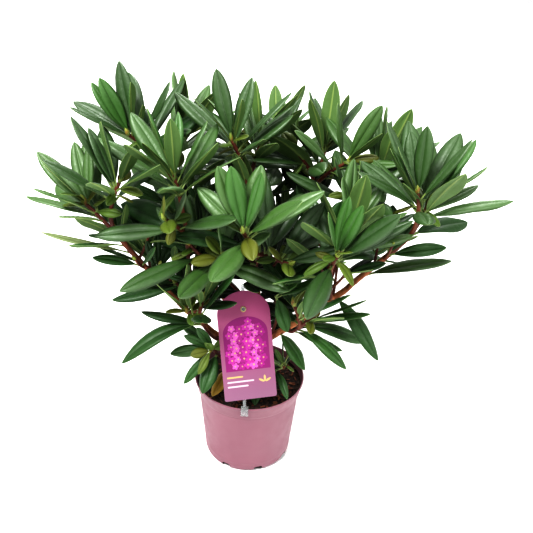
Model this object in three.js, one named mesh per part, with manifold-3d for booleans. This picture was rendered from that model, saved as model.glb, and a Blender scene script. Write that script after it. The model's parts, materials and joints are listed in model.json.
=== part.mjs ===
// A rhododendron in a round nursery pot: pot, potting soil, a short trunk, boughs,
// one mass of foliage at the tip of each bough, and a plant tag on a clip-on holder.
// Millimetres, +Z up. The origin is the centre of the pot's flat underside, +X runs
// to the right and -Y is the front, where the tag is.

import * as THREE from "three";
import { mergeVertices } from "three/addons/utils/BufferGeometryUtils.js";
import Module from "manifold-3d";

const wasm = await Module();
wasm.setup();

const UP = new THREE.Vector3(0, 0, 1);
const GAP = 0.3; // the clear joint between neighbouring pieces

// ---------------------------------------------------------------- driving dimensions
// Angles are in degrees, and a heading is counted from +X towards +Y.

// The pot, a 17 cm nursery pot
const POT_HEIGHT = 143;
const RIM_RADIUS = 85;
const FLOOR_RADIUS = 60; // where the flat underside turns into the rounded corner
const FOOT_RADIUS = 68; // at the top of the rounded corner
const FOOT_HEIGHT = 12;
const NECK_RADIUS = 78; // where the straight taper meets the collar
const NECK_HEIGHT = 119;
const COLLAR_STEP = 2; // the collar starts this much wider, this much higher
const LIP = { wide: 1, high: 3 };
const WALL = 1.6;
const FLOOR = 3;
const POT_FACETS = 32;
const DRAIN_SLOTS = 8;
const DRAIN_SLOT = { wide: 10, high: 4, deep: 14 };
const FIRST_DRAIN_SLOT = -118;

// The soil in it
const SOIL_TOP = 134;
const SOIL_DIP = 3; // how much lower it lies along the wall
const SOIL_LEVEL_RADIUS = 24; // level round the trunk

// The trunk
const TRUNK_FOOT = new THREE.Vector3(-6, 8, SOIL_TOP + GAP);
const TRUNK_HEAD = new THREE.Vector3(12, 2, SOIL_TOP + 66);
const TRUNK_RADIUS = { foot: 9.5, head: 7.5 };
const ROOT_FLARE = { wider: 5.5, height: 0.14 }; // height as a share of the trunk

// The boughs: what each grows from and how far along that, the heading, reach and height
// of its tip, and its radius at the foot. A bend above 0 runs out and then turns up.
const BOUGH_BEND = 0.26;
const BOUGH_TAPER = 0.72;
const BOUGHS = {
  right: { from: "trunk", at: 1.0, heading: -10, reach: 202, height: 402, radius: 5.4, bend: 0.1 },
  right_front: { from: "right", at: 0.52, heading: -34, reach: 128, height: 370, radius: 3.8 },
  right_back: { from: "right", at: 0.42, heading: 16, reach: 139, height: 384, radius: 3.8 },
  front: { from: "trunk", at: 0.8, heading: -80, reach: 24, height: 374, radius: 4.2, bend: -0.8 },
  front_left: { from: "front", at: 0.44, heading: -150, reach: 40, height: 346, radius: 3.6, bend: -0.4 },
  left: { from: "trunk", at: 0.5, heading: -168, reach: 182, height: 392, radius: 5.0, bend: 0.12 },
  left_middle: { from: "left", at: 0.42, heading: -156, reach: 98, height: 390, radius: 3.8 },
  left_back: { from: "trunk", at: 0.92, heading: 147, reach: 148, height: 420, radius: 4.6 },
  top: { from: "trunk", at: 0.98, heading: 102, reach: 49, height: 416, radius: 4.6 },
  back: { from: "trunk", at: 0.62, heading: 84, reach: 155, height: 392, radius: 4.4 },
  back_right: { from: "trunk", at: 0.74, heading: 46, reach: 118, height: 410, radius: 4.6 },
  low_left: { from: "left", at: 0.2, heading: -150, reach: 80, height: 262, radius: 2.8 },
  low_right: { from: "right", at: 0.2, heading: -32, reach: 80, height: 262, radius: 2.8 },
  low_back: { from: "back", at: 0.3, heading: 130, reach: 92, height: 300, radius: 3.0 },
  low_back_right: { from: "back_right", at: 0.34, heading: 18, reach: 112, height: 312, radius: 3.0 },
  basal_left: { from: "trunk", at: 0.22, heading: -146, reach: 58, height: 204, radius: 2.6 },
  basal_right: { from: "trunk", at: 0.16, heading: -28, reach: 48, height: 172, radius: 2.6 },
};

// The shoots at each bough's tip: how many, the heading of the first and the turn to the
// next, how far off the tip and above it they end, how much higher each ends than the one
// before, and, where they aren't as usual, their leaves' size and how far the outer ones
// lie open.
const SHOOTS = {
  right: { count: 2, first: 40, turn: 180, gap: 20, rise: 70, step: 22 },
  right_front: { count: 2, first: 70, turn: 180, gap: 30, rise: 66, step: -10 },
  right_back: { count: 2, first: 50, turn: 180, gap: 40, rise: 86, step: -16 },
  front: { count: 2, first: -108, turn: 62, gap: 66, rise: 82, step: -66 },
  front_left: { count: 2, first: -80, turn: -56, gap: 48, rise: 52, step: 10 },
  left: { count: 2, first: 180, turn: 180, gap: 30, rise: 60, step: 36 },
  left_middle: { count: 2, first: 61, turn: 180, gap: 23, rise: 106, step: -50 },
  left_back: { count: 2, first: 45, turn: 180, gap: 49, rise: 64, step: 26 },
  top: { count: 2, first: 61, turn: 180, gap: 40, rise: 74, step: 26 },
  back: { count: 3, first: 80, turn: 120, gap: 50, rise: 56, step: 2 },
  back_right: { count: 3, first: 200, turn: 120, gap: 45, rise: 74, step: -6 },
  low_left: { count: 2, first: -160, turn: 180, gap: 16, rise: 28, step: 20, open: 84 },
  low_right: { count: 2, first: -10, turn: 180, gap: 18, rise: 30, step: 14, open: 84 },
  low_back: { count: 2, first: 150, turn: 180, gap: 30, rise: 50, step: 14 },
  low_back_right: { count: 2, first: 30, turn: 180, gap: 30, rise: 50, step: 10 },
  basal_left: { count: 1, first: -120, turn: 180, gap: 12, rise: 14, step: 10, size: 0.62, open: 84 },
  basal_right: { count: 1, first: -30, turn: 180, gap: 8, rise: 12, step: 10, size: 0.45, open: 84 },
};
const STEM_LENGTH = 14; // from a bough's tip to where its shoots part
const SHOOT_ROOT = 3; // how far back from there a shoot starts
const SHOOT_BEND = { share: 0.5, least: 20 }; // it runs straight on for this share of its rise
const SHOOT_LEAN = 0.3; // outward for each millimetre of rise
const SHOOT_RADIUS = { foot: 3.6, tip: 3 };
const SHOOT_UPTURN = 1; // how much its leaves turn up from its own direction
const FOLIAGE_SEED = 160; // the first mass's; each later mass takes the next number

// Leaves. A range is what chance adds to an angle, or what it multiplies a length, a
// width or a whorl's droop by.
const LEAF_LENGTH = 120;
const LEAF_WIDTH = 0.28; // of its length
const LEAF_DEPTH = { root: 0.02, tip: 0.01 }; // of its length, from the blade to its keel
const LEAF_OUTLINE = [
  // share of the length, share of the width
  [0, 0.05],
  [0.16, 0.3],
  [0.55, 1],
  [1, 0],
];
const GOLDEN_ANGLE = 137.508;
const WHORL_LEAVES = 12;
const SMALL_WHORL_LEAVES = 6;
const WHORL_ANGLE = { outer: 66, inner: 16 }; // from the shoot's axis
const WHORL_ROOTS = { outer: 30, inner: 3, most: 0.8 }; // back from the shoot's tip
const WHORL_LENGTH = { outer: 1, inner: 0.76 };
const WHORL_DROOP = { outer: 0.11, inner: 0.02 }; // of the leaf's length
const WHORL_RANGES = {
  turn: [-9, 9],
  angle: [-8, 8],
  length: [0.86, 1.12],
  width: [0.9, 1.1],
  droop: [0.4, 1.4],
  roll: [-14, 14],
};
const OLDER_LEAVES = 3; // below each whorl
const OLDER_TURN = 60; // from the whorl's first leaf
const OLDER_RANGES = {
  root: [0.2, 0.6], // share of the shoot
  turn: [-20, 20],
  angle: [56, 78], // from the shoot's axis
  length: [0.85, 1.12],
  width: [0.95, 1.2],
  droop: [0.08, 0.26], // of the leaf's length
  roll: [-20, 20],
};
const CROWN_TOP = 612;

// The plant tag and its holder, which is clipped to the rim
const HOLDER_HEADING = -92.7;
const HOLDER_YAW = 10;
const HOLDER_LEAN = 25;
const HOLDER_STRIP = { wide: 5, thick: 1.4, long: 186, tilt: -1.2 };
const CLIP = { wide: 13, thick: 1.5, outer: 13, inner: 5, mouth: 4.2 };
const PEG = { radius: 1.5, head: 3, headThick: 0.7, sides: 12 };
const TAG = { wide: 78, high: 162, thick: 0.8, arch: 34, corner: 3 };
const TAG_HOLE = { radius: 2.2, below: 27 }; // below the top of the arch
const TAG_FOOT = 14; // the tag's lower edge above the rim, along the strip
const TAG_TURN = 4.2; // about its hole
const TAG_VIEW = { beside: 4, above: 10, below: 20, behind: 6, deep: 200 }; // kept free round it

// ---------------------------------------------------------------- solids from geometry

const radians = THREE.MathUtils.degToRad;
const lerp = THREE.MathUtils.lerp;

// A closed three.js geometry as a manifold-3d solid.
function solidOf(geometry) {
  const bare = new THREE.BufferGeometry();
  bare.setAttribute("position", geometry.getAttribute("position"));
  bare.setIndex(geometry.getIndex());
  const merged = mergeVertices(bare, 1e-4);
  return new wasm.Manifold(
    new wasm.Mesh({
      numProp: 3,
      vertProperties: merged.attributes.position.array,
      triVerts: new Uint32Array(merged.index.array),
    }),
  );
}

// A solid as a flat-shaded three.js geometry.
function geometryOf(solid) {
  const { vertProperties, triVerts } = solid.getMesh();
  const geometry = new THREE.BufferGeometry();
  geometry.setAttribute("position", new THREE.BufferAttribute(vertProperties, 3));
  geometry.setIndex(new THREE.BufferAttribute(triVerts, 1));
  const flat = geometry.toNonIndexed();
  flat.computeVertexNormals();
  return flat;
}

function largestBody(solid) {
  return solid.decompose().reduce((a, b) => (b.volume() > a.volume() ? b : a));
}

function placed(geometry, matrix) {
  return solidOf(geometry.applyMatrix4(matrix));
}

// A geometry of height 1 about the Y axis, carried along a line of frames: frame(t) says
// where its axis is at the share t of its height, and how far its X and Z reach there.
function carriedAlong(geometry, frame) {
  const points = geometry.attributes.position;
  for (let i = 0; i < points.count; i++) {
    const t = points.getY(i) + 0.5;
    const { at, side, face, wide, thick } = frame(t);
    at.addScaledVector(side, points.getX(i) * wide);
    at.addScaledVector(face, points.getZ(i) * thick);
    points.setXYZ(i, at.x, at.y, at.z);
  }
  return solidOf(geometry);
}

// A round limb that follows a curve. clear makes it that much thicker and longer.
function limb(curve, radiusAt, sides, steps, clear = 0) {
  const overrun = clear / curve.getLength();
  const across = UP.clone().cross(curve.v2.clone().sub(curve.v0)).normalize();
  return carriedAlong(new THREE.CylinderGeometry(1, 1, 1, sides, steps), (t) => {
    const along = curve.getTangent(t);
    const side = across.clone().projectOnPlane(along).normalize();
    return {
      at: curve.getPoint(lerp(-overrun, 1 + overrun, t)),
      side,
      face: side.clone().cross(along),
      wide: radiusAt(t) + clear,
      thick: radiusAt(t) + clear,
    };
  });
}

// A leaf's midrib, width and depth at a station of its outline. It droops towards the tip.
function stationOf(leaf, [t, widthShare]) {
  const at = leaf.root.clone().addScaledVector(leaf.heading, leaf.length * t);
  at.addScaledVector(UP, -leaf.droop * leaf.length * t * t);
  const deep = leaf.length * lerp(LEAF_DEPTH.root, LEAF_DEPTH.tip, t);
  return { at, wide: widthShare * leaf.width, deep };
}

// A leaf: a flat blade with a keel along its midrib. from leaves out its first stations.
function blade(leaf, from = 0) {
  const stations = LEAF_OUTLINE.slice(from);
  const steps = stations.length - 1;
  const side = leaf.face.clone().cross(leaf.heading);
  const down = leaf.face.clone().negate();
  // a three-sided cone of radius 1 is this wide across its flat side, and this deep
  const cone = { wide: 2 * Math.sin(Math.PI / 3), deep: 1.5 };
  return carriedAlong(new THREE.ConeGeometry(1, 1, 3, steps), (share) => {
    const { at, wide, deep } = stationOf(leaf, stations[Math.round(share * steps)]);
    const narrowing = Math.max(1 - share, 1e-9);
    return {
      at,
      side,
      face: down,
      wide: wide / cone.wide / narrowing,
      thick: deep / cone.deep / narrowing,
    };
  });
}

// The space that a leaf takes up: a box section round its blade, clear of it all round.
function sheath(leaf) {
  const steps = LEAF_OUTLINE.length - 1;
  const side = leaf.face.clone().cross(leaf.heading);
  const down = leaf.face.clone().negate();
  return carriedAlong(new THREE.BoxGeometry(1, 1, 1, 1, steps, 1), (share) => {
    const { at, wide, deep } = stationOf(leaf, LEAF_OUTLINE[Math.round(share * steps)]);
    at.addScaledVector(leaf.heading, GAP * (2 * share - 1));
    at.addScaledVector(down, deep / 6); // a third of the blade's depth is over its midrib
    return { at, side, face: down, wide: wide + 2 * GAP, thick: deep + 2 * GAP };
  });
}

// ---------------------------------------------------------------- the pot and its soil

// The outer side of the pot from the underside to the collar, moved in by `inset` and
// up by `raise`.
function potSide(inset, raise) {
  const side = new THREE.Path();
  side.moveTo(FLOOR_RADIUS - inset, raise);
  side.quadraticCurveTo(FOOT_RADIUS - inset, raise, FOOT_RADIUS - inset, FOOT_HEIGHT);
  side.lineTo(NECK_RADIUS - inset, NECK_HEIGHT);
  side.lineTo(NECK_RADIUS + COLLAR_STEP - inset, NECK_HEIGHT + COLLAR_STEP);
  return side;
}

function turned(profile) {
  return solidOf(new THREE.LatheGeometry(profile, POT_FACETS).rotateX(Math.PI / 2));
}

function makePot() {
  const outside = potSide(0, 0);
  outside.lineTo(RIM_RADIUS - LIP.wide, POT_HEIGHT - LIP.high);
  outside.lineTo(RIM_RADIUS, POT_HEIGHT - LIP.high);
  outside.lineTo(RIM_RADIUS, POT_HEIGHT);
  const inside = potSide(WALL, FLOOR);
  inside.lineTo(RIM_RADIUS - WALL, POT_HEIGHT);
  const axis = (height) => new THREE.Vector2(0, height);
  const whole = turned([
    axis(0),
    ...outside.getPoints(4),
    ...inside.getPoints(4).reverse(),
    axis(FLOOR),
  ]);
  const slots = Array.from({ length: DRAIN_SLOTS }, (_, i) => {
    const { wide, high, deep } = DRAIN_SLOT;
    const turn = radians(FIRST_DRAIN_SLOT + (360 / DRAIN_SLOTS) * i);
    const slot = new THREE.BoxGeometry(deep, wide, 2 * high);
    slot.translate(FOOT_RADIUS, 0, 0).rotateZ(turn);
    return solidOf(slot);
  });
  return whole.subtract(wasm.Manifold.union(slots));
}

function makeSoil() {
  const level = SOIL_TOP - SOIL_DIP;
  const side = potSide(WALL + GAP, FLOOR + GAP);
  const collar = (level - NECK_HEIGHT) / (POT_HEIGHT - NECK_HEIGHT);
  side.lineTo(lerp(NECK_RADIUS, RIM_RADIUS, collar) - WALL - GAP, level);
  side.lineTo(SOIL_LEVEL_RADIUS, SOIL_TOP);
  side.lineTo(0, SOIL_TOP);
  return turned([new THREE.Vector2(0, FLOOR + GAP), ...side.getPoints(4)]);
}

// ---------------------------------------------------------------- the tag and its holder

// The frame of the holder's strip: X across it, Y to its back, Z up along it.
function holderFrame() {
  const heading = radians(HOLDER_HEADING);
  const onRim = RIM_RADIUS - WALL / 2;
  const foot = new THREE.Vector3(Math.cos(heading) * onRim, Math.sin(heading) * onRim);
  foot.z = POT_HEIGHT + GAP + CLIP.thick / 2;
  const turn = new THREE.Euler(-radians(HOLDER_LEAN), 0, radians(HOLDER_YAW), "ZXY");
  const leaning = new THREE.Matrix4().makeRotationFromEuler(turn).setPosition(foot);
  return leaning.multiply(new THREE.Matrix4().makeRotationY(-radians(HOLDER_STRIP.tilt)));
}

// The frame of the tag: it hangs on the strip's peg and is turned a little about it.
function tagFrame() {
  const hole = TAG.high - TAG_HOLE.below;
  return holderFrame()
    .multiply(new THREE.Matrix4().makeTranslation(0, 0, TAG_FOOT + hole))
    .multiply(new THREE.Matrix4().makeRotationY(-radians(TAG_TURN)))
    .multiply(new THREE.Matrix4().makeTranslation(0, 0, -hole));
}

function makeTag() {
  const { wide, high, thick, arch, corner } = TAG;
  const half = wide / 2;
  const outline = new THREE.Shape();
  outline.moveTo(-half, corner);
  outline.quadraticCurveTo(-half, 0, corner - half, 0);
  outline.lineTo(half - corner, 0);
  outline.quadraticCurveTo(half, 0, half, corner);
  outline.lineTo(half, high - arch);
  outline.absellipse(0, high - arch, half, arch, 0, Math.PI);
  outline.lineTo(-half, corner);
  const hole = new THREE.Path();
  hole.absarc(0, high - TAG_HOLE.below, TAG_HOLE.radius, 0, 2 * Math.PI);
  outline.holes.push(hole);
  const card = new THREE.ExtrudeGeometry(outline, {
    depth: thick,
    bevelEnabled: false,
    curveSegments: 8,
  });
  // stood up, its front to -Y and its back clear of the strip
  card.rotateX(Math.PI / 2).translate(0, -GAP, 0);
  return placed(card, tagFrame());
}

// The clip that straddles the rim, under the foot of the strip.
function makeClip() {
  const heading = radians(HOLDER_HEADING);
  // its section: X towards the pot's axis from the rim's outer edge, Y up
  const legs = new THREE.Shape();
  const top = GAP + CLIP.thick;
  legs.moveTo(-GAP - CLIP.thick, -CLIP.outer);
  legs.lineTo(-GAP, -CLIP.outer);
  legs.lineTo(-GAP, GAP);
  legs.lineTo(CLIP.mouth, GAP);
  legs.lineTo(CLIP.mouth, -CLIP.inner);
  legs.lineTo(CLIP.mouth + CLIP.thick, -CLIP.inner);
  legs.lineTo(CLIP.mouth + CLIP.thick, top);
  legs.lineTo(-GAP - CLIP.thick, top);
  const clip = new THREE.ExtrudeGeometry(legs, { depth: CLIP.wide, bevelEnabled: false });
  clip.translate(0, 0, -CLIP.wide / 2);
  clip.rotateX(Math.PI / 2).rotateZ(heading + Math.PI);
  clip.translate(Math.cos(heading) * RIM_RADIUS, Math.sin(heading) * RIM_RADIUS, POT_HEIGHT);
  return solidOf(clip);
}

function makeHolder() {
  const { wide, thick, long } = HOLDER_STRIP;
  const frame = holderFrame();
  const strip = new THREE.BoxGeometry(wide, thick, long);
  strip.translate(0, thick / 2, long / 2);
  const pegHeight = TAG_FOOT + TAG.high - TAG_HOLE.below;
  const pinLength = TAG.thick + 4 * GAP;
  const pin = new THREE.CylinderGeometry(PEG.radius, PEG.radius, pinLength, PEG.sides);
  pin.translate(0, GAP - pinLength / 2, pegHeight);
  const head = new THREE.CylinderGeometry(PEG.head, PEG.head, PEG.headThick, PEG.sides);
  head.translate(0, -TAG.thick - 2 * GAP - PEG.headThick / 2, pegHeight);
  const pieces = [strip, pin, head].map((piece) => placed(piece, frame));
  return wasm.Manifold.union([makeClip(), ...pieces]);
}

// The space round the tag and in front of it that stays free of leaves.
function makeTagView() {
  const { beside, above, below, behind, deep } = TAG_VIEW;
  const high = TAG.high + above + below;
  const space = new THREE.BoxGeometry(TAG.wide + 2 * beside, deep, high);
  space.translate(0, behind - deep / 2, high / 2 - below);
  return placed(space, tagFrame());
}

// ---------------------------------------------------------------- trunk and boughs

function polar(heading, reach, height) {
  const angle = radians(heading);
  return new THREE.Vector3(reach * Math.cos(angle), reach * Math.sin(angle), height);
}

// A curve from foot to tip. bend above 0 runs outward first and then turns up.
function bentCurve(foot, tip, bend) {
  const middle = foot.clone().lerp(tip, 0.5 + bend / 2);
  middle.z = lerp(foot.z, tip.z, 0.5 - bend / 2);
  return new THREE.QuadraticBezierCurve3(foot, middle, tip);
}

function makeTrunk() {
  const straightUp = TRUNK_FOOT.clone();
  straightUp.z = lerp(TRUNK_FOOT.z, TRUNK_HEAD.z, 0.5);
  const curve = new THREE.QuadraticBezierCurve3(TRUNK_FOOT, straightUp, TRUNK_HEAD);
  const radiusAt = (t) =>
    lerp(TRUNK_RADIUS.foot, TRUNK_RADIUS.head, t) +
    ROOT_FLARE.wider * Math.exp(-t / ROOT_FLARE.height);
  const shape = (clear) => limb(curve, radiusAt, 10, 6, clear);
  return { curve, solid: shape(0), inflated: shape(GAP) };
}

// Each bough is cut clear of what it grows from and of the boughs beside it there.
function makeBoughs(trunk) {
  const limbs = new Map([["trunk", trunk]]);
  for (const [name, bough] of Object.entries(BOUGHS)) {
    const { from, at, heading, reach, height, radius, bend = BOUGH_BEND } = bough;
    const foot = limbs.get(from).curve.getPoint(at);
    const curve = bentCurve(foot, polar(heading, reach, height), bend);
    const radiusAt = (t) => radius * lerp(1, BOUGH_TAPER, t);
    const shape = (clear) => limb(curve, radiusAt, 6, 5, clear);
    const earlier = wasm.Manifold.union([...limbs.values()].map((other) => other.inflated));
    const solid = largestBody(shape(0).subtract(earlier));
    limbs.set(name, { curve, solid, inflated: shape(GAP), tipRadius: radiusAt(1) });
  }
  return limbs;
}

// ---------------------------------------------------------------- foliage

// A repeatable stream of numbers, each within the range it is asked for.
function drawsFrom(seed) {
  let state = Math.imul(seed, 2654435761) >>> 0;
  return ([low, high]) => {
    state = (Math.imul(state, 1664525) + 1013904223) >>> 0;
    return lerp(low, high, state / 2 ** 32);
  };
}

// The direction `angle` degrees off an axis, `turn` degrees round it.
function offAxis(axis, angle, turn) {
  const side = axis.clone().cross(new THREE.Vector3(0, 1, 0)).normalize();
  const other = axis.clone().cross(side);
  side.multiplyScalar(Math.cos(radians(turn))).addScaledVector(other, Math.sin(radians(turn)));
  return axis
    .clone()
    .multiplyScalar(Math.cos(radians(angle)))
    .addScaledVector(side, Math.sin(radians(angle)));
}

// A leaf whose upper face looks to the shoot's axis, rolled a little about its midrib.
function leafOn(shoot, root, angle, turn, length, widening, droop, roll) {
  const heading = offAxis(shoot.axis, angle, turn);
  const face = shoot.axis.clone().projectOnPlane(heading).normalize();
  face.applyAxisAngle(heading, radians(roll));
  return { root, heading, face, length, width: length * LEAF_WIDTH * widening, droop };
}

// A shoot ends in a whorl: its outer leaves lie open, its inner ones stand up. A few
// older leaves hang on below.
function leavesOf(shoot, size, open, draw) {
  const { curve } = shoot;
  const count = size === 1 ? WHORL_LEAVES : SMALL_WHORL_LEAVES;
  const phase = draw([0, 360]);
  const whorl = Array.from({ length: count }, (_, i) => {
    const t = i / (count - 1);
    const across = ({ outer, inner }) => lerp(outer, inner, t);
    const turn = phase + GOLDEN_ANGLE * i + draw(WHORL_RANGES.turn);
    const angle = lerp(open, WHORL_ANGLE.inner, t) + draw(WHORL_RANGES.angle);
    const back = Math.min(across(WHORL_ROOTS) / curve.getLength(), WHORL_ROOTS.most);
    const shortening = lerp(WHORL_LENGTH.outer, WHORL_LENGTH.inner, t * t);
    const length = size * LEAF_LENGTH * shortening * draw(WHORL_RANGES.length);
    const widening = draw(WHORL_RANGES.width);
    const droop = across(WHORL_DROOP) * draw(WHORL_RANGES.droop);
    const roll = draw(WHORL_RANGES.roll);
    return leafOn(shoot, curve.getPoint(1 - back), angle, turn, length, widening, droop, roll);
  });
  const older = Array.from({ length: OLDER_LEAVES }, (_, i) => {
    const root = curve.getPoint(draw(OLDER_RANGES.root));
    const turn = phase + OLDER_TURN + GOLDEN_ANGLE * i + draw(OLDER_RANGES.turn);
    const angle = draw(OLDER_RANGES.angle);
    const length = size * LEAF_LENGTH * draw(OLDER_RANGES.length);
    const widening = draw(OLDER_RANGES.width);
    const droop = draw(OLDER_RANGES.droop);
    const roll = draw(OLDER_RANGES.roll);
    return leafOn(shoot, root, angle, turn, length, widening, droop, roll);
  });
  return [...whorl, ...older];
}

// The stem of a mass goes on from its bough's tip, 0.3 mm clear, and parts in shoots.
function startMass(name, bough, seed) {
  const { heading, reach, height } = BOUGHS[name];
  const { count, first, turn, gap, rise, step } = SHOOTS[name];
  const { size = 1, open = WHORL_ANGLE.outer } = SHOOTS[name];
  const draw = drawsFrom(seed);
  const along = bough.curve.getTangent(1);
  const tip = polar(heading, reach, height);
  const onwards = (distance) => tip.clone().addScaledVector(along, distance);
  const stemCurve = new THREE.QuadraticBezierCurve3(
    onwards(GAP),
    onwards(STEM_LENGTH / 2),
    onwards(STEM_LENGTH),
  );
  const stemRadius = (t) => lerp(bough.tipRadius, SHOOT_RADIUS.foot, t);
  const shoots = Array.from({ length: count }, (_, i) => {
    const up = rise + step * i;
    const end = tip.clone().add(polar(first + turn * i, gap, up));
    end.add(polar(heading, SHOOT_LEAN * up, 0));
    const bendAt = onwards(Math.max(up * SHOOT_BEND.share, SHOOT_BEND.least));
    const start = onwards(STEM_LENGTH - SHOOT_ROOT);
    const curve = new THREE.QuadraticBezierCurve3(start, bendAt, end);
    const radiusAt = (t) => lerp(SHOOT_RADIUS.foot, SHOOT_RADIUS.tip, t);
    const axis = curve.getTangent(1).addScaledVector(UP, SHOOT_UPTURN).normalize();
    const shoot = { curve, axis, solid: limb(curve, radiusAt, 3, 3), leaves: [], spreads: [] };
    shoot.plan = leavesOf(shoot, size, open, draw);
    return shoot;
  });
  return { name, stem: { solid: limb(stemCurve, stemRadius, 6, 1) }, shoots };
}

function boxOf(solid) {
  const { min, max } = solid.boundingBox();
  return new THREE.Box3(new THREE.Vector3(...min), new THREE.Vector3(...max));
}

function touches(solid, obstacles) {
  const box = boxOf(solid);
  return obstacles.some((other) => {
    other.box ??= boxOf(other.solid);
    return box.intersectsBox(other.box) && !solid.intersect(other.solid).isEmpty();
  });
}

// Leaves are added one a shoot in turn. A leaf is skipped that would touch a limb, the
// pot, the soil, the tag, another mass's stem or another shoot or its leaves, that would
// cross a leaf of its own shoot, or that would reach over the crown's top.
function growFoliage(limbs, fixed) {
  const masses = Object.keys(BOUGHS).map((name, i) =>
    startMass(name, limbs.get(name), FOLIAGE_SEED + i),
  );
  const solids = [...[...limbs.values()].map(({ solid }) => ({ solid })), ...fixed];
  for (const mass of masses) {
    const others = masses.filter((m) => m !== mass).flatMap((m) => m.shoots);
    mass.shoots = mass.shoots.filter((shoot) => !touches(shoot.solid, [...solids, ...others]));
  }
  const most = Math.max(...masses.flatMap((m) => m.shoots.map((s) => s.plan.length)));
  for (let i = 0; i < most; i++) {
    for (const mass of masses) {
      const stems = masses.filter((m) => m !== mass).map((m) => m.stem);
      for (const shoot of mass.shoots) {
        const leaf = shoot.plan[i];
        if (!leaf) continue;
        const space = sheath(leaf);
        const others = masses.flatMap((m) => m.shoots).filter((s) => s !== shoot);
        const near = [...solids, ...stems, ...others, ...others.flatMap((s) => s.leaves)];
        const spread = { solid: blade(leaf, 1) };
        const tooHigh = boxOf(space).max.z > CROWN_TOP;
        if (tooHigh || touches(space, near) || touches(spread.solid, shoot.spreads)) continue;
        shoot.leaves.push({ solid: blade(leaf) });
        shoot.spreads.push(spread);
      }
    }
  }
  return masses;
}

function joinedMass(mass) {
  const pieces = mass.shoots.flatMap((shoot) => [shoot, ...shoot.leaves]);
  return largestBody(wasm.Manifold.union([mass.stem, ...pieces].map((piece) => piece.solid)));
}

// ---------------------------------------------------------------- the plant

const POT_PLASTIC = { color: 0xb87f90, roughness: 0.5, metalness: 0 };
const SOIL = { color: 0x2b211c, roughness: 1, metalness: 0 };
const BARK = { color: 0x8a5a3c, roughness: 0.85, metalness: 0 };
const LEAF_GREEN = { color: 0x3f7a3a, roughness: 0.45, metalness: 0 };
const CARD = { color: 0xa9628c, roughness: 0.5, metalness: 0 };
const CLEAR_PLASTIC = { color: 0xc9d0d2, roughness: 0.2, metalness: 0 };

const plant = new THREE.Group();

function addPiece(name, solid, finish) {
  const mesh = new THREE.Mesh(geometryOf(solid), new THREE.MeshStandardMaterial(finish));
  mesh.name = name;
  plant.add(mesh);
}

const pot = makePot();
const soil = makeSoil();
const tag = makeTag();
const holder = makeHolder();
const limbs = makeBoughs(makeTrunk());
const fixed = [pot, soil, tag, holder, makeTagView()].map((solid) => ({ solid }));
const masses = growFoliage(limbs, fixed);

addPiece("pot", pot, POT_PLASTIC);
addPiece("potting_soil", soil, SOIL);
for (const [name, { solid }] of limbs) {
  addPiece(name === "trunk" ? name : "bough_" + name, solid, BARK);
}
for (const mass of masses) addPiece("foliage_" + mass.name, joinedMass(mass), LEAF_GREEN);
addPiece("plant_tag", tag, CARD);
addPiece("tag_holder", holder, CLEAR_PLASTIC);

export default plant;
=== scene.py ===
# %% [markdown]
# # Dressing a potted rhododendron
#
# A plain solid model gives every size of this shrub: the pot, the soil, the trunk, the
# boughs and a coarse mass of leaves at the tip of each bough. This lesson dresses it.
# Fine pieces stand where the coarse ones were, and the size never changes.
#
# Blender opens with a cube, a lamp and a camera, which go first. Then the solids are
# loaded. Each one is a Blender object with its place in its mesh.

import json
import math
import random

import bmesh
import bpy
import numpy as np
from mathutils import Matrix, Vector, noise
from mathutils.bvhtree import BVHTree
from mathutils.kdtree import KDTree

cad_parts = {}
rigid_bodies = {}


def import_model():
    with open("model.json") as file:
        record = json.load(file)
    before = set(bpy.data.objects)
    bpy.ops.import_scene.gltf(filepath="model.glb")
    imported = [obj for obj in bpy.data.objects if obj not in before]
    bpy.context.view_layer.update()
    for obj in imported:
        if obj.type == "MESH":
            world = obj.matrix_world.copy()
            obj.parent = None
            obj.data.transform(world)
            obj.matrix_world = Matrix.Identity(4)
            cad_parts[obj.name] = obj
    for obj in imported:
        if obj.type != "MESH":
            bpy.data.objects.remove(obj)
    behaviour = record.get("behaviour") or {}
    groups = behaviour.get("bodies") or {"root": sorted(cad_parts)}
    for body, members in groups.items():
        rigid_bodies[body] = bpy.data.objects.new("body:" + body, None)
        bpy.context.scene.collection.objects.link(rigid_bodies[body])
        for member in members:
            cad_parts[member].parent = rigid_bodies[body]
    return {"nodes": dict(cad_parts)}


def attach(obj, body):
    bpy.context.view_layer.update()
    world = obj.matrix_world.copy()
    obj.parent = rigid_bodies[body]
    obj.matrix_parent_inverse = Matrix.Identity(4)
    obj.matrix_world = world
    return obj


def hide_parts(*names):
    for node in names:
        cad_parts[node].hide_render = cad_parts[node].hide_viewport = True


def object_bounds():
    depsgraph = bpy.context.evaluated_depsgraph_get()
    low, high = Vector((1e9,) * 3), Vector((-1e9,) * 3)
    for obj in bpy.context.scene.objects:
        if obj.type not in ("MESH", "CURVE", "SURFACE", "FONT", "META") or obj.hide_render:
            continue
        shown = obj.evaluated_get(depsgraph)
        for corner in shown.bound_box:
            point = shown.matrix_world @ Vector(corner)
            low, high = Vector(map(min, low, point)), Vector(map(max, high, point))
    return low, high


for thing in list(bpy.data.objects):
    bpy.data.objects.remove(thing)
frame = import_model()
solids = frame["nodes"]
cad_box = [list(corner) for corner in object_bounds()]
print(len(solids), "solids, from", cad_box[0], "to", cad_box[1])

# %% [markdown]
# ## Millimetres, headings and turns
#
# The solid model is drawn in millimetres, and Blender works in metres. All the sums below
# stay in millimetres, and only the last step, a new piece, goes over to metres. A heading
# is counted in degrees from +X, the plant's right, towards +Y, its back.

# %% Small sums that every piece uses
MM = 0.001
UP = Vector((0, 0, 1))
GAP = 0.3


def lerp(low, high, share):
    return low + (high - low) * share


def polar(heading, reach, height):
    angle = math.radians(heading)
    return Vector((reach * math.cos(angle), reach * math.sin(angle), height))


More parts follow.
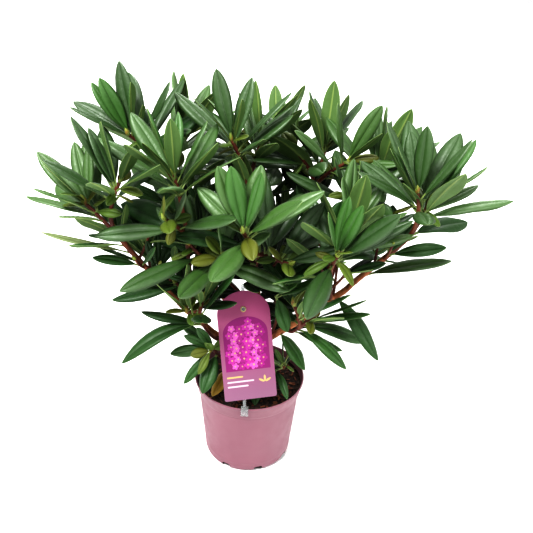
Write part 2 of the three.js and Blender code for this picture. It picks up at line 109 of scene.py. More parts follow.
def flattened(vector, normal):
    """The part of a vector that lies square to a direction."""
    return (vector - normal * vector.dot(normal)).normalized()


# %% [markdown]
# ## From points to a piece
#
# Everything here is built from points and faces. A shape is its points, its faces and the
# number of the finish on all of them or on each. Many shapes joined make one piece, such
# as all the bark chips, so that Blender handles a few objects and not thousands.

# %% Join shapes into one piece
def joined(shapes):
    points, faces, tones = [], [], []
    for shape_points, shape_faces, shape_tones in shapes:
        start = len(points)
        points.extend(shape_points)
        faces.extend([tuple(start + i for i in face) for face in shape_faces])
        same = isinstance(shape_tones, int)
        tones.extend([shape_tones] * len(shape_faces) if same else shape_tones)
    return points, faces, tones


def new_piece(name, shapes, finishes, smooth=True):
    """One object in metres that rides with the pot."""
    points, faces, tones = joined(shapes)
    mesh = bpy.data.meshes.new(name)
    mesh.from_pydata((np.array([tuple(p) for p in points]) * MM).tolist(), [], faces)
    for finish in finishes:
        mesh.materials.append(finish)
    mesh.polygons.foreach_set("material_index", tones)
    mesh.polygons.foreach_set("use_smooth", [smooth] * len(faces))
    piece = bpy.data.objects.new(name, mesh)
    bpy.context.collection.objects.link(piece)
    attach(piece, "root")
    print(name, "has", sum(len(face) - 2 for face in faces), "triangles")
    return piece


# %% [markdown]
# Most of the shapes are rings of points with faces between them: the pot is rings up its
# wall, a bough is rings along its line, and a block is one section at both ends.

# %% Faces between rings of points
def bands(rings, count):
    """The faces between rings of that many points, which lie one after another."""
    faces = []
    for low in range(0, (rings - 1) * count, count):
        for i in range(count):
            j = (i + 1) % count
            faces.append((low + i, low + j, low + count + j, low + count + i))
    return faces


def capped(rings, count):
    """The same faces, with both ends closed."""
    last = (rings - 1) * count
    return bands(rings, count) + [tuple(reversed(range(count))), tuple(range(last, last + count))]


def prism(section, start, end, across, up):
    """A section of (across, up) points, carried from start to end."""
    points = [at + across * x + up * y for at in (start, end) for x, y in section]
    return points, capped(2, len(section)), 0


# %% [markdown]
# Some pieces need one of Blender's modifiers, such as a bevel or a cut. Its result is
# kept in the mesh at once, so that the finished piece is a plain mesh.

# %% Keep what a modifier makes
def with_modifier(piece, kind, **settings):
    modifier = piece.modifiers.new(kind, kind)
    for setting, value in settings.items():
        setattr(modifier, setting, value)
    bpy.context.view_layer.update()
    shown = piece.evaluated_get(bpy.context.evaluated_depsgraph_get())
    made = bpy.data.meshes.new_from_object(shown)
    piece.modifiers.clear()
    piece.data = made
    return piece


# %% [markdown]
# ## Finishes
#
# A real surface is never one flat colour. Each finish starts as one Principled shader.
# Then noise is laid over it: `mottle` lets the colour drift between two tones, `sheen_play`
# does the same with the gloss, and `grain` raises a fine relief. All of them read the
# object's own coordinates, so the pattern stays on the surface from every side.

# %% Start a finish
def paint(red, green, blue):
    """A colour as seen on a screen, 0 to 255, as the light that Blender counts in."""
    return tuple(((c / 255 + 0.055) / 1.055) ** 2.4 if c > 10 else c / 3295 for c in (red, green, blue))


def feed(finish, node, **inputs):
    """Gives each input of a node a plain value or another node's output."""
    for name, value in inputs.items():
        socket = node.inputs[name.replace("_", " ")]
        if isinstance(value, bpy.types.NodeSocket):
            finish.node_tree.links.new(value, socket)
        else:
            socket.default_value = value
    return node


def shader_of(finish):
    return finish.node_tree.nodes["Principled BSDF"]


def new_node(finish, kind, **inputs):
    return feed(finish, finish.node_tree.nodes.new("ShaderNode" + kind), **inputs)


def new_finish(name, colour, roughness, **inputs):
    finish = bpy.data.materials.new(name)
    finish.use_nodes = True
    feed(finish, shader_of(finish), Base_Color=(*colour, 1), Roughness=roughness, **inputs)
    return finish


# %% Patterns: noise, height and the range of either
def noise_in(finish, per_metre, detail, stretch=(1, 1, 1)):
    """Noise over the object, with about that many patches to a metre."""
    place = new_node(finish, "TexCoord").outputs["Object"]
    scaled = new_node(finish, "Mapping", Vector=place, Scale=stretch).outputs["Vector"]
    return new_node(finish, "TexNoise", Vector=scaled, Scale=per_metre, Detail=detail).outputs["Fac"]


def height_in(finish):
    """The height over the ground in metres, for a colour that changes on the way up."""
    place = new_node(finish, "TexCoord").outputs["Object"]
    return new_node(finish, "SeparateXYZ", Vector=place).outputs["Z"]


def spread(finish, source, low, high, share=(0.3, 0.7)):
    """A source's range opened out from low to high."""
    ends = {"From_Min": share[0], "From_Max": share[1], "To_Min": low, "To_Max": high}
    return new_node(finish, "MapRange", Value=source, **ends).outputs["Result"]


def blended(finish, share, colour, other):
    """Two colours mixed by a pattern. Each one is a colour or another node's output."""
    mix = new_node(finish, "Mix")
    mix.data_type = "RGBA"
    return feed(finish, mix, Factor=share, A=colour, B=other).outputs["Result"]


# %% The three ways to lay a pattern over a finish
def mottle(finish, source, colour, other, share=(0.3, 0.7)):
    mixed = blended(finish, spread(finish, source, 0, 1, share), (*colour, 1), (*other, 1))
    feed(finish, shader_of(finish), Base_Color=mixed)


def sheen_play(finish, per_metre, detail, low, high):
    gloss = spread(finish, noise_in(finish, per_metre, detail), low, high)
    feed(finish, shader_of(finish), Roughness=gloss)


def grain(finish, per_metre, detail, high_mm, stretch=(1, 1, 1)):
    bumps = noise_in(finish, per_metre, detail, stretch)
    relief = new_node(finish, "Bump", Height=bumps, Distance=high_mm * MM)
    feed(finish, shader_of(finish), Normal=relief.outputs["Normal"])


# %% [markdown]
# ## The nursery pot
#
# A nursery pot is blow-moulded from one thin sheet of plastic: a rounded foot, a straight
# taper, a collar that steps out, and a thin lip. A lathe shape is the natural way to make
# it. One outline is turned round the pot's axis in small steps, and the drain slots are
# cut through the foot afterwards.

# %% The pot's outline
POT_HEIGHT, RIM_RADIUS, FLOOR_RADIUS, FOOT_RADIUS = 143, 85, 60, 68
FOOT_HEIGHT, NECK_RADIUS, NECK_HEIGHT, WALL, FLOOR = 12, 78, 119, 1.6, 3
COLLAR = [(0.3, 0.2), (1.6, 1.6), (2, 2.6)]  # out from the neck, and up
LIP = [(1.3, 3.6), (0.8, 3), (0.3, 2.8), (0, 2.3), (0, 0.8)]  # in from the rim's edge, and down
LIP += [(0.25, 0.2), (0.8, 0), (WALL - 0.25, 0.2), (WALL, 0.8)]


def rounded_foot(inset, rise, steps):
    """The quarter turn from the flat underside to the pot's side."""
    shares = np.linspace(0, 1, steps)
    across = (1 - shares) ** 2 * FLOOR_RADIUS + (1 - (1 - shares) ** 2) * FOOT_RADIUS
    return [(r - inset, lerp(rise, FOOT_HEIGHT, t * t)) for r, t in zip(across, shares)]


def pot_side(inset, rise):
    side = rounded_foot(inset, rise, 10)
    rings = [(0.04, 0), (0.05, 0.25), (0.06, 0), (0.3, 0), (0.6, 0), (0.93, 0), (0.985, 0)]
    for share, proud in rings:  # a fine ring stands just proud above the foot
        height = lerp(FOOT_HEIGHT, NECK_HEIGHT, share)
        side.append((lerp(FOOT_RADIUS, NECK_RADIUS, share) - inset + proud, height))
    return side + [(NECK_RADIUS + out - inset, NECK_HEIGHT + up) for out, up in COLLAR]


lip = [(RIM_RADIUS - inward, POT_HEIGHT - down) for inward, down in LIP]
pot_outline = [(0, 0), (30, 0), *pot_side(0, 0), *lip]
pot_outline += [*reversed(pot_side(WALL, FLOOR)), (30, FLOOR), (0, FLOOR)]
print("the pot's outline has", len(pot_outline), "points")


# %% Turn an outline round the pot's axis
def turned(outline, steps):
    points = []
    for radius, height in outline:
        points += [polar(360 * i / steps, max(radius, 0.01), height) for i in range(steps)]
    return points, bands(len(outline), steps), 0


# %% [markdown]
# Moulded plastic of this kind is mauve pink with a satin skin. Its colour drifts by a
# few per cent where the sheet is thinner, and a handled pot carries faint scuffs.

# %% The pot's plastic
pot_plastic = new_finish("mauve_pot_plastic", paint(137, 96, 108), 0.46, IOR=1.46)
pot_patches = noise_in(pot_plastic, 9, 3, (1, 1, 0.35))
mottle(pot_plastic, pot_patches, paint(133, 92, 104), paint(141, 101, 112))
sheen_play(pot_plastic, 60, 5, 0.38, 0.55)
grain(pot_plastic, 420, 3, 0.05)

# %% Turn the pot and cut its drain slots
# The slots' cut faces get a dark brown finish: painted shade for the dark inside of each slot.
slot_shade_finish = new_finish("painted_shade_slot_wall", paint(44, 26, 26), 0.9)
grain(slot_shade_finish, 600, 4, 0.3)
pot = new_piece("nursery_pot", [turned(pot_outline, 144)], [pot_plastic])
DRAIN_SLOTS, SLOT_DEEP, FIRST_SLOT = 8, 14, -118
SLOT_SIDE = [(6.5, -6), (6.5, 7), (6, 8.6), (4.6, 9.4)]  # off the slot's middle, and height
SLOT_SECTION = [(-6.5, -6), *SLOT_SIDE, (-4.6, 9.4), (-6, 8.6), (-6.5, 7)]


def slot_block(heading):
    """A block that reaches through the foot."""
    out, side = polar(heading, 1, 0), polar(heading + 90, 1, 0)
    inner, outer = (out * (FOOT_RADIUS + way * SLOT_DEEP / 2) for way in (-1, 1))
    return prism(SLOT_SECTION, inner, outer, side, UP)


slots = [slot_block(FIRST_SLOT + 360 / DRAIN_SLOTS * i) for i in range(DRAIN_SLOTS)]
cutter = new_piece("slot_cutter", slots, [slot_shade_finish])
cut = {"object": cutter, "operation": "DIFFERENCE", "solver": "EXACT", "material_mode": "TRANSFER"}
with_modifier(pot, "BOOLEAN", **cut)
bpy.data.objects.remove(cutter)
pot.data.set_sharp_from_angle(angle=math.radians(40))
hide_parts("pot")
print("the pot has", len(pot.data.polygons), "faces after the cut")

# %% [markdown]
# ## The potting soil
#
# Moist peat fills the pot to a little under the rim, heaped at the trunk and settled along
# the wall. Noise in three sizes lifts its surface into clods. On top lie bark chips, which
# are flakes with a broken outline and no two alike, and crumbs of peat. They are scattered
# by a seeded stream of chance, so every run of the script lays them the same way.

# %% The lump of soil
SOIL_TOP, SOIL_DIP, SOIL_LEVEL_RADIUS, SOIL_EDGE_RADIUS = 134, 3, 24, 80
CLODS = [(3, 0.045, 2.6), (9, 0.16, 1.3), (5, 0.5, 0.7)]  # layer of the noise, fineness, height
SOIL_SIDES = 160


def soil_height(x, y):
    out = (math.hypot(x, y) - SOIL_LEVEL_RADIUS) / (SOIL_EDGE_RADIUS - SOIL_LEVEL_RADIUS)
    level = SOIL_TOP - SOIL_DIP * min(max(out, 0), 1)
    return level + sum(noise.noise(Vector((x, y, layer)) * fine) * high for layer, fine, high in CLODS)


def soil_shape():
    wall = [(r - GAP, h) for r, h in pot_side(WALL, FLOOR + GAP)] + [(81.3, 128.5)]
    outline = [(0, FLOOR + GAP), *wall] + [(r, 0) for r in np.linspace(80.6, 0, 46)]
    points, faces, tone = turned(outline, SOIL_SIDES)
    for point in points[(len(wall) + 1) * SOIL_SIDES:]:
        point.z = soil_height(point.x, point.y)
    return points, faces, tone


peat = new_finish("moist_peat", paint(38, 27, 23), 0.95)
mottle(peat, noise_in(peat, 260, 6), paint(24, 17, 15), paint(66, 44, 34), (0.38, 0.68))
grain(peat, 520, 6, 0.9)
soil = new_piece("potting_soil_surface", [soil_shape()], [peat])
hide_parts("potting_soil")

# %% One bark chip and one crumb of peat
chance = random.Random(17)


def flake(place, turn, tip, long, wide, thick, tone):
    """A six-sided flake, ragged at both ends."""
    rim = [(-0.5, -0.3), (-0.38, 0.42), (0.1, 0.5), (0.5, 0.24), (0.42, -0.4), (-0.06, -0.5)]
    rim = [(x * chance.uniform(0.8, 1.15), y * chance.uniform(0.7, 1.2)) for x, y in rim]
    lay = Matrix.Rotation(turn, 3, "Z") @ Matrix.Rotation(tip, 3, "Y")
    points = []
    for level, share in ((-0.5, 0.9), (0.5, 1)):
        for x, y in rim:
            bow = level * thick + 0.12 * wide * (1 - 4 * x * x)
            points.append(place + lay @ Vector((x * long * share, y * wide * share, bow)))
    return points, capped(2, len(rim)), tone


def crumb(place, size):
    corners = [(1, 0, 0), (0, 1, 0), (-1, 0, 0), (0, -1, 0), (0, 0, 1), (0, 0, -1)]
    points = [place + Vector(c) * size * chance.uniform(0.6, 1.3) for c in corners]
    ring = [(i, (i + 1) % 4) for i in range(4)]
    return points, [(a, b, 4) for a, b in ring] + [(b, a, 5) for a, b in ring], 0


def on_soil(reach):
    heading, out = chance.uniform(0, 360), reach * math.sqrt(chance.random())
    spot = polar(heading, out, 0)
    spot.z = soil_height(spot.x, spot.y)
    return spot


# %% Scatter the chips and crumbs
chip_tones = [paint(104, 58, 38), paint(84, 48, 34), paint(128, 80, 54), paint(64, 40, 31)]
chip_finishes = []
for number, tone in enumerate(chip_tones):
    finish = new_finish(f"bark_chip_{number + 1}", tone, 0.8)
    grain(finish, 700, 4, 0.4, (1, 0.3, 1))
    sheen_play(finish, 300, 3, 0.65, 0.95)
    chip_finishes.append(finish)
CHIPS, CRUMBS = 430, 900
chips = []
for _ in range(CHIPS):
    spot = on_soil(76)
    spot.z += chance.uniform(-0.2, 1.2)
    long = chance.uniform(4, 13)
    turn, tip = chance.uniform(0, math.tau), chance.uniform(-0.45, 0.45)
    wide, thick = long * chance.uniform(0.2, 0.42), chance.uniform(0.7, 1.6)
    chips.append(flake(spot, turn, tip, long, wide, thick, chance.randrange(4)))
bark_chips = new_piece("bark_chips", chips, chip_finishes, smooth=False)
crumbs = [crumb(on_soil(78), chance.uniform(0.5, 1.7)) for _ in range(CRUMBS)]
peat_crumbs = new_piece("peat_crumbs", crumbs, [peat], smooth=False)
for piece in (bark_chips, peat_crumbs):
    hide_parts("potting_soil")

# %% [markdown]
# ## The tag and its clip
#
# A clear plastic strip stands on the rim, held by a clip, and leans back. A peg on it
# holds the tag. The strip's own frame makes this easy: X across it, Y to its back and Z up
# along it. The same turns as in the solid model bring that frame to its place.

# %% The frames of the strip and the tag
HOLDER_HEADING, HOLDER_YAW, HOLDER_LEAN, STRIP_TILT = -92.7, 10, 25, -1.2
STRIP_WIDE, STRIP_THICK, STRIP_LONG = 5, 1.4, 186
CLIP_WIDE, CLIP_THICK, CLIP_OUTER, CLIP_INNER, CLIP_MOUTH = 11, 1.5, 12, 5, 4.2
TAG_WIDE, TAG_HIGH, TAG_THICK, TAG_ARCH, TAG_CORNER = 78, 162, 0.8, 34, 3
HOLE_RADIUS, HOLE_BELOW, TAG_FOOT, TAG_TURN = 2.2, 27, 14, 4.2


def turn_about(axis, degrees):
    return Matrix.Rotation(math.radians(degrees), 4, axis)


strip_foot = polar(HOLDER_HEADING, RIM_RADIUS - WALL / 2, POT_HEIGHT + GAP + CLIP_THICK / 2)
leaning = turn_about("Z", HOLDER_YAW) @ turn_about("X", -HOLDER_LEAN)
strip_frame = Matrix.Translation(strip_foot) @ leaning @ turn_about("Y", -STRIP_TILT)
hole_height = TAG_HIGH - HOLE_BELOW
to_hole = Matrix.Translation((0, 0, TAG_FOOT + hole_height))
tag_frame = strip_frame @ to_hole @ turn_about("Y", -TAG_TURN) @ Matrix.Translation((0, 0, -hole_height))
print("the tag hangs from", tag_frame @ Vector((0, 0, hole_height)))


# %% [markdown]
# The tag is a printed plastic card with an arched top. Its edge is rounded a little by
# the punch. The print is made of thin films laid on its front: an arched panel with
# simple five-petalled blossoms strewn over it, plain bars and a sprig of three leaves. A
# print as shapes keeps its edges sharp however close the camera comes.

# %% The card
def corner_arc(x, z, radius, first):
    turns = np.radians(np.linspace(first, first + 90, 6))
    return [(x + radius * math.cos(a), z + radius * math.sin(a)) for a in turns]


def arched(wide, high, arch):
    """The upper edge of an arched shape, from its right side to its left."""
    turns = np.linspace(0, math.pi, 41)
    return [(wide / 2 * math.cos(a), high - arch + arch * math.sin(a)) for a in turns]


def round_loop(x, z, radius, count=24, petals=0, turn=0.0, slim=1.0):
    """A ring of points. petals notches it like a blossom, and slim makes it a leaf."""
    loop = []
    for i in range(count):
        a = math.tau * i / count
        r = radius * (1 if not petals else 0.62 + 0.38 * abs(math.cos(petals * a / 2)))
        u, v = r * math.cos(a), r * math.sin(a) * slim
        across = u * math.cos(turn) - v * math.sin(turn)
        loop.append((x + across, z + u * math.sin(turn) + v * math.cos(turn)))
    return loop


def on_tag(x, z, lift=0.0):
    """A place on the tag's front, or that far in front of it."""
    return tag_frame @ Vector((x, -GAP - TAG_THICK - lift, z))


def card_shape():
    half = TAG_WIDE / 2 - TAG_CORNER
    edge = corner_arc(-half, TAG_CORNER, TAG_CORNER, 180) + corner_arc(half, TAG_CORNER, TAG_CORNER, 270)
    edge += arched(TAG_WIDE, TAG_HIGH, TAG_ARCH)
    plan = bmesh.new()
    loops = []
    for loop in (edge, round_loop(0, hole_height, HOLE_RADIUS)):
        corners = [plan.verts.new((x, 0, z)) for x, z in loop]
        loops += [plan.edges.new((a, b)) for a, b in zip(corners, corners[1:] + corners[:1])]
    bmesh.ops.triangle_fill(plan, edges=loops, use_beauty=True)
    plan.verts.index_update()
    flat = [v.co.copy() for v in plan.verts]
    faces = [tuple(v.index for v in f.verts) for f in plan.faces]
    rims = [(e.verts[0].index, e.verts[1].index) for e in plan.edges if len(e.link_faces) == 1]
    plan.free()
    count = len(flat)
    front = [on_tag(p.x, p.z) for p in flat]
    back = [on_tag(p.x, p.z, -TAG_THICK) for p in flat]
    sides = [(a, b, count + b, count + a) for a, b in rims]
    return front + back, faces + [tuple(count + i for i in reversed(f)) for f in faces] + sides, 0


card = new_finish("mauve_card", paint(150, 94, 126), 0.42, IOR=1.5)
# The card runs from mauve at its foot to a redder, slightly lighter rose at its top: painted light that lifts
# the upper card out of the shade the crown casts on it.
painted_light_low, painted_light_high = (on_tag(0, z).z * MM for z in (10, TAG_HIGH - 10))
mottle(card, height_in(card), paint(137, 99, 122), paint(170, 84, 128), (painted_light_low, painted_light_high))
sheen_play(card, 14, 2, 0.36, 0.48)
grain(card, 900, 2, 0.02)
tag = new_piece("plant_tag_card", [card_shape()], [card], smooth=False)
recalc = bmesh.new()
recalc.from_mesh(tag.data)
bmesh.ops.recalc_face_normals(recalc, faces=recalc.faces)
recalc.to_mesh(tag.data)
recalc.free()
with_modifier(tag, "BEVEL", width=0.15 * MM, segments=2, limit_method="ANGLE")
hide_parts("plant_tag")

# %% The print on the card
FILM, BAR_HIGH = 0.06, 2.6


def film(loop, lift, tone):
    """A flat printed shape, with its front a hair in front of the card."""
    middle = (sum(x for x, _ in loop) / len(loop), sum(z for _, z in loop) / len(loop))
    points = [on_tag(*middle, lift)] + [on_tag(x, z, lift) for x, z in loop]
    count = len(loop)
    return points, [(0, 1 + i, 1 + (i + 1) % count) for i in range(count)], tone


def bar(left, z, wide):
    corner = BAR_HIGH / 2
    near, far = left + corner, left + wide - corner
    ends = [(far, 270), (far, 0), (near, 90), (near, 180)]
    return [spot for x, first in ends for spot in corner_arc(x, z, corner, first)]


# %% What the print shows
PANEL_WIDE, PANEL_LOW, PANEL_HIGH, PANEL_ARCH = 66, 44, 124, 24
CREAM, MAGENTA, BLOSSOM, WHITE = 0, 1, 2, 5  # places in the list of inks, with three for blossoms
BLOSSOM_ROWS, BLOSSOM_COLUMNS, ACROSS_APART, UP_APART = 8, 7, 9.6, 9.4
BARS = [(35, 24, CREAM), (28, 40, WHITE), (21, 31, WHITE)]  # height on the card, width, ink
strewn = random.Random(3)


def print_shapes():
    top = arched(PANEL_WIDE, PANEL_HIGH, PANEL_ARCH)
    shapes = [film([(-PANEL_WIDE / 2, PANEL_LOW), (PANEL_WIDE / 2, PANEL_LOW), *top], FILM, MAGENTA)]
    lift = 2 * FILM
    for row in range(BLOSSOM_ROWS):
        for column in range(BLOSSOM_COLUMNS):
            x = (column - 3 + 0.5 * (row % 2)) * ACROSS_APART + strewn.uniform(-1.5, 1.5)
            z = PANEL_LOW + 7 + row * UP_APART + strewn.uniform(-1.5, 1.5)
            size = strewn.uniform(5.2, 7.4)
            arch = max(z + size - PANEL_HIGH + PANEL_ARCH, 0) / PANEL_ARCH
            if arch > 1 or abs(x) + size > PANEL_WIDE / 2 * math.sqrt(1 - arch * arch):
                continue
            blossom = round_loop(x, z, size, 40, 5, strewn.uniform(0, 1.2))
            shapes.append(film(blossom, lift, BLOSSOM + (3 * row + column) % 3))
            shapes.append(film(round_loop(x, z, 0.2 * size, 12), lift + 0.02, CREAM))
            lift += 0.004
    for z, wide, ink in BARS:
        shapes.append(film(bar(-PANEL_WIDE / 2, z, wide), FILM, ink))
    for turn in (0.5, 1.57, 2.64):  # the sprig's three leaves
        x, z = 23 + 5.5 * math.cos(turn), 24 + 5.5 * math.sin(turn)
        shapes.append(film(round_loop(x, z, 4.7, 24, 0, turn, 0.36), FILM, CREAM))
    return shapes


inks = {
    "cream_ink": paint(186, 166, 118),
    "magenta_ink": paint(138, 38, 112),
    "blossom_ink": paint(176, 56, 152),
    "bright_blossom_ink": paint(192, 98, 172),
    "deep_blossom_ink": paint(158, 42, 132),
    "white_ink": paint(190, 174, 184),
}
ink_finishes = []
for name, colour in inks.items():
    finish = new_finish(name, colour, 0.4)
    sheen_play(finish, 500, 2, 0.34, 0.46)
    ink_finishes.append(finish)
new_piece("tag_print", print_shapes(), ink_finishes, smooth=False)


# %% [markdown]
# The strip, its peg and its clip are small mouldings. Each is a section drawn as a loop
# and carried along a line, with its edges rounded by a bevel. Clear plastic passes most of
# the light, so it needs Transmission and not a paler colour. The eyelet is a flat ring.

# %% The holder
clear = new_finish("clear_plastic", (0.62, 0.64, 0.64), 0.16, IOR=1.45, Transmission_Weight=0.75)
grain(clear, 300, 2, 0.03)
sheen_play(clear, 120, 3, 0.1, 0.24)
turn3 = strip_frame.to_3x3()
across, behind, along = (turn3 @ Vector(axis) for axis in ((1, 0, 0), (0, 1, 0), (0, 0, 1)))
edge, groove = STRIP_WIDE / 2, 0.35
channel = [(-edge, 0), (-0.9, 0), (-0.6, groove), (0.6, groove), (0.9, 0), (edge, 0)]
channel += [(edge, STRIP_THICK), (-edge, STRIP_THICK)]
foot, head, peg = (strip_frame @ Vector((0, 0, z)) for z in (0, STRIP_LONG, TAG_FOOT + hole_height))
holder_parts = [prism(channel, foot, head, across, behind)]
for radius, start, end in ((1.5, GAP, -1.7), (3, -1.4, -2.1)):  # the peg and its head
    section = round_loop(0, 0, radius, 32)
    holder_parts.append(prism(section, peg + behind * start, peg + behind * end, across, along))
inward, beside = -polar(HOLDER_HEADING, 1, 0), polar(HOLDER_HEADING + 90, 1, 0)
rim = polar(HOLDER_HEADING, RIM_RADIUS, POT_HEIGHT)
top = GAP + CLIP_THICK
legs = [(-top, -CLIP_OUTER), (-GAP, -CLIP_OUTER), (-GAP, GAP), (CLIP_MOUTH, GAP), (CLIP_MOUTH, -CLIP_INNER)]
legs += [(CLIP_MOUTH + CLIP_THICK, -CLIP_INNER), (CLIP_MOUTH + CLIP_THICK, top), (-top, top)]
half = beside * CLIP_WIDE / 2
holder_parts.append(prism(legs, rim - half, rim + half, inward, UP))
holder = new_piece("tag_strip_and_clip", holder_parts, [clear], smooth=False)
with_modifier(holder, "BEVEL", width=0.3 * MM, segments=2, limit_method="ANGLE", angle_limit=math.radians(50))
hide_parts("tag_holder")
rings = [on_tag(x, z, 2 * FILM) for radius in (4.4, 2.3) for x, z in round_loop(0, hole_height, radius, 40)]
eyelet = new_piece("tag_eyelet", [(rings, bands(2, 40), 0)], ink_finishes[:1])
with_modifier(eyelet, "SOLIDIFY", thickness=0.4 * MM, offset=0)

# %% [markdown]
# ## The wood: trunk and boughs
#
# The limbs of a shrub taper, swell where they part and never run quite straight. Each one
# here is a tube along a smooth curve, from the same foot, reach and height as its solid.
# Tubes that only overlap show a hard crease at every fork. So they are joined and remeshed
# into one skin, smoothed, and only then given bark relief.

# %% Curves for the limbs
class Bent:
    """A curve of three points, measured as the solid model measures it."""

    def __init__(self, foot, middle, tip):
        self.foot, self.middle, self.tip = foot, middle, tip

    def at(self, t):
        return self.foot * (1 - t) ** 2 + self.middle * (2 * t * (1 - t)) + self.tip * t * t

    def heading(self, t):
        low, high = max(t - 0.0001, 0), min(t + 0.0001, 1)
        return (self.at(high) - self.at(low)).normalized()

    def length(self):
        stops = [self.at(i / 200) for i in range(201)]
        return sum((b - a).length for a, b in zip(stops, stops[1:]))


def bent_between(foot, tip, bend):
    """bend above 0 runs outward first and then turns up."""
    middle = foot.lerp(tip, 0.5 + bend / 2)
    middle.z = lerp(foot.z, tip.z, 0.5 - bend / 2)
    return Bent(foot, middle, tip)


# %% The sizes of the trunk and the boughs
TRUNK_FOOT, TRUNK_HEAD = Vector((-6, 8, SOIL_TOP + GAP)), Vector((12, 2, SOIL_TOP + 66))
BOUGH_BEND, BOUGH_TAPER = 0.26, 0.72
BOUGHS = {  # what it grows from, how far along, heading, reach, height, radius, bend
    "right": ("trunk", 1.0, -10, 202, 402, 5.4, 0.1),
    "right_front": ("right", 0.52, -34, 128, 370, 3.8),
    "right_back": ("right", 0.42, 16, 139, 384, 3.8),
    "front": ("trunk", 0.8, -80, 24, 374, 4.2, -0.8),
    "front_left": ("front", 0.44, -150, 40, 346, 3.6, -0.4),
    "left": ("trunk", 0.5, -168, 182, 392, 5.0, 0.12),
    "left_middle": ("left", 0.42, -156, 98, 390, 3.8),
    "left_back": ("trunk", 0.92, 147, 148, 420, 4.6),
    "top": ("trunk", 0.98, 102, 49, 416, 4.6),
    "back": ("trunk", 0.62, 84, 155, 392, 4.4),
    "back_right": ("trunk", 0.74, 46, 118, 410, 4.6),
    "low_left": ("left", 0.2, -150, 80, 262, 2.8),
    "low_right": ("right", 0.2, -32, 80, 262, 2.8),
    "low_back": ("back", 0.3, 130, 92, 300, 3.0),
    "low_back_right": ("back_right", 0.34, 18, 112, 312, 3.0),
    "basal_left": ("trunk", 0.22, -146, 58, 204, 2.6),
    "basal_right": ("trunk", 0.16, -28, 48, 172, 2.6),
}


def trunk_radius(t):
    return lerp(9.5, 7.5, t) + 5.5 * math.exp(-t / 0.14)


trunk_middle = Vector((TRUNK_FOOT.x, TRUNK_FOOT.y, lerp(TRUNK_FOOT.z, TRUNK_HEAD.z, 0.5)))
limbs = {"trunk": (Bent(TRUNK_FOOT, trunk_middle, TRUNK_HEAD), trunk_radius)}
for name, (origin, at, heading, reach, height, radius, *bend) in BOUGHS.items():
    curve = bent_between(limbs[origin][0].at(at), polar(heading, reach, height), *(bend or [BOUGH_BEND]))
    limbs[name] = (curve, lambda t, r=radius: r * lerp(1, BOUGH_TAPER, t))
print("boughs", {name: round(curve.length()) for name, (curve, _) in limbs.items()})


# %% A tube along a line of stops
def tube(stops, radii, sides):
    """A closed round tube. Its side line turns as little as it can from ring to ring."""
    points, side = [], None
    for i, (stop, radius) in enumerate(zip(stops, radii)):
        ahead = stops[min(i + 1, len(stops) - 1)] - stops[max(i - 1, 0)]
        ahead.normalize()
        side = flattened(side if side else Vector((ahead.z, ahead.x, ahead.y)), ahead)
        other = ahead.cross(side)
        for k in range(sides):
            angle = math.tau * k / sides
            points.append(stop + side * radius * math.cos(angle) + other * radius * math.sin(angle))
    return points, capped(len(stops), sides), 0


def sway(place, much):
    """A small wander that bends neighbouring places alike, the same in every run."""
    return Vector([noise.noise(place * 0.022 + UP * shift) for shift in (0, 40, 80)]) * much


# %% One skin over all the limbs
STOPS_APART, TUBE_SIDES, VOXEL = 6, 14, 1.15
ROOT_LINE, ROOT_RADII = [(3, 12), (13, 2), (24, -5)], [5, 4, 2.4]  # out from the trunk and up
limb_shapes, bark_stops = [], []
for name, (curve, radius_at) in limbs.items():
    length = curve.length()
    steps = max(int(length / STOPS_APART), 8)
    stops, radii = [], []
    for i in range(steps + 1):
        t = i / steps
        ease = math.sin(math.pi * t)
        knots = 1 + 0.07 * noise.noise(curve.at(t) * 0.09)
        flare = 1 + (0 if name == "trunk" else 0.5 * math.exp(-t * length / 13))
        stops.append(curve.at(t) + sway(curve.at(t), 3.4 * ease))
        radii.append(radius_at(t) * knots * flare)
    if name == "trunk":
        stops[0].z -= 4
    limb_shapes.append(tube(stops, radii, TUBE_SIDES))
    bark_stops += [(name, stop, radius) for stop, radius in zip(stops, radii)]
for heading in (20, 140, 255):
    stops = [TRUNK_FOOT + polar(heading, out, up) for out, up in ROOT_LINE]
    limb_shapes.append(tube(stops, ROOT_RADII, 10))
wood = new_piece("trunk_and_boughs", limb_shapes, [])
with_modifier(wood, "REMESH", mode="VOXEL", voxel_size=VOXEL * MM)
with_modifier(wood, "SMOOTH", factor=0.6, iterations=5)
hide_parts("trunk", *("bough_" + name for name in BOUGHS))
print("the skin has", len(wood.data.polygons), "faces")

# %% [markdown]
# Bark relief belongs to the limb it grows on. Each point of the skin looks up the nearest
# stop on a limb's middle line. It is pushed out and in along upright ridges, the more the
# thicker the wood is, and small leaf scars stand out on the boughs. The same look-up stores
# how old the wood is, which the finish turns into tan, brown or red-brown.

# %% Bark relief and the age of the wood
RIDGES, FINE_BUMPS, SCAR_HIGH, SCAR_WIDE = 0.075, 0.035, 0.55, 1.5
YOUNG_RADIUS, OLD_RADIUS = 3.3, 5.3


def look_up(places):
    """A tree that finds the nearest of these places."""
    tree = KDTree(len(places))
    for index, place in enumerate(places):
        tree.insert(place, index)
    tree.balance()
    return tree


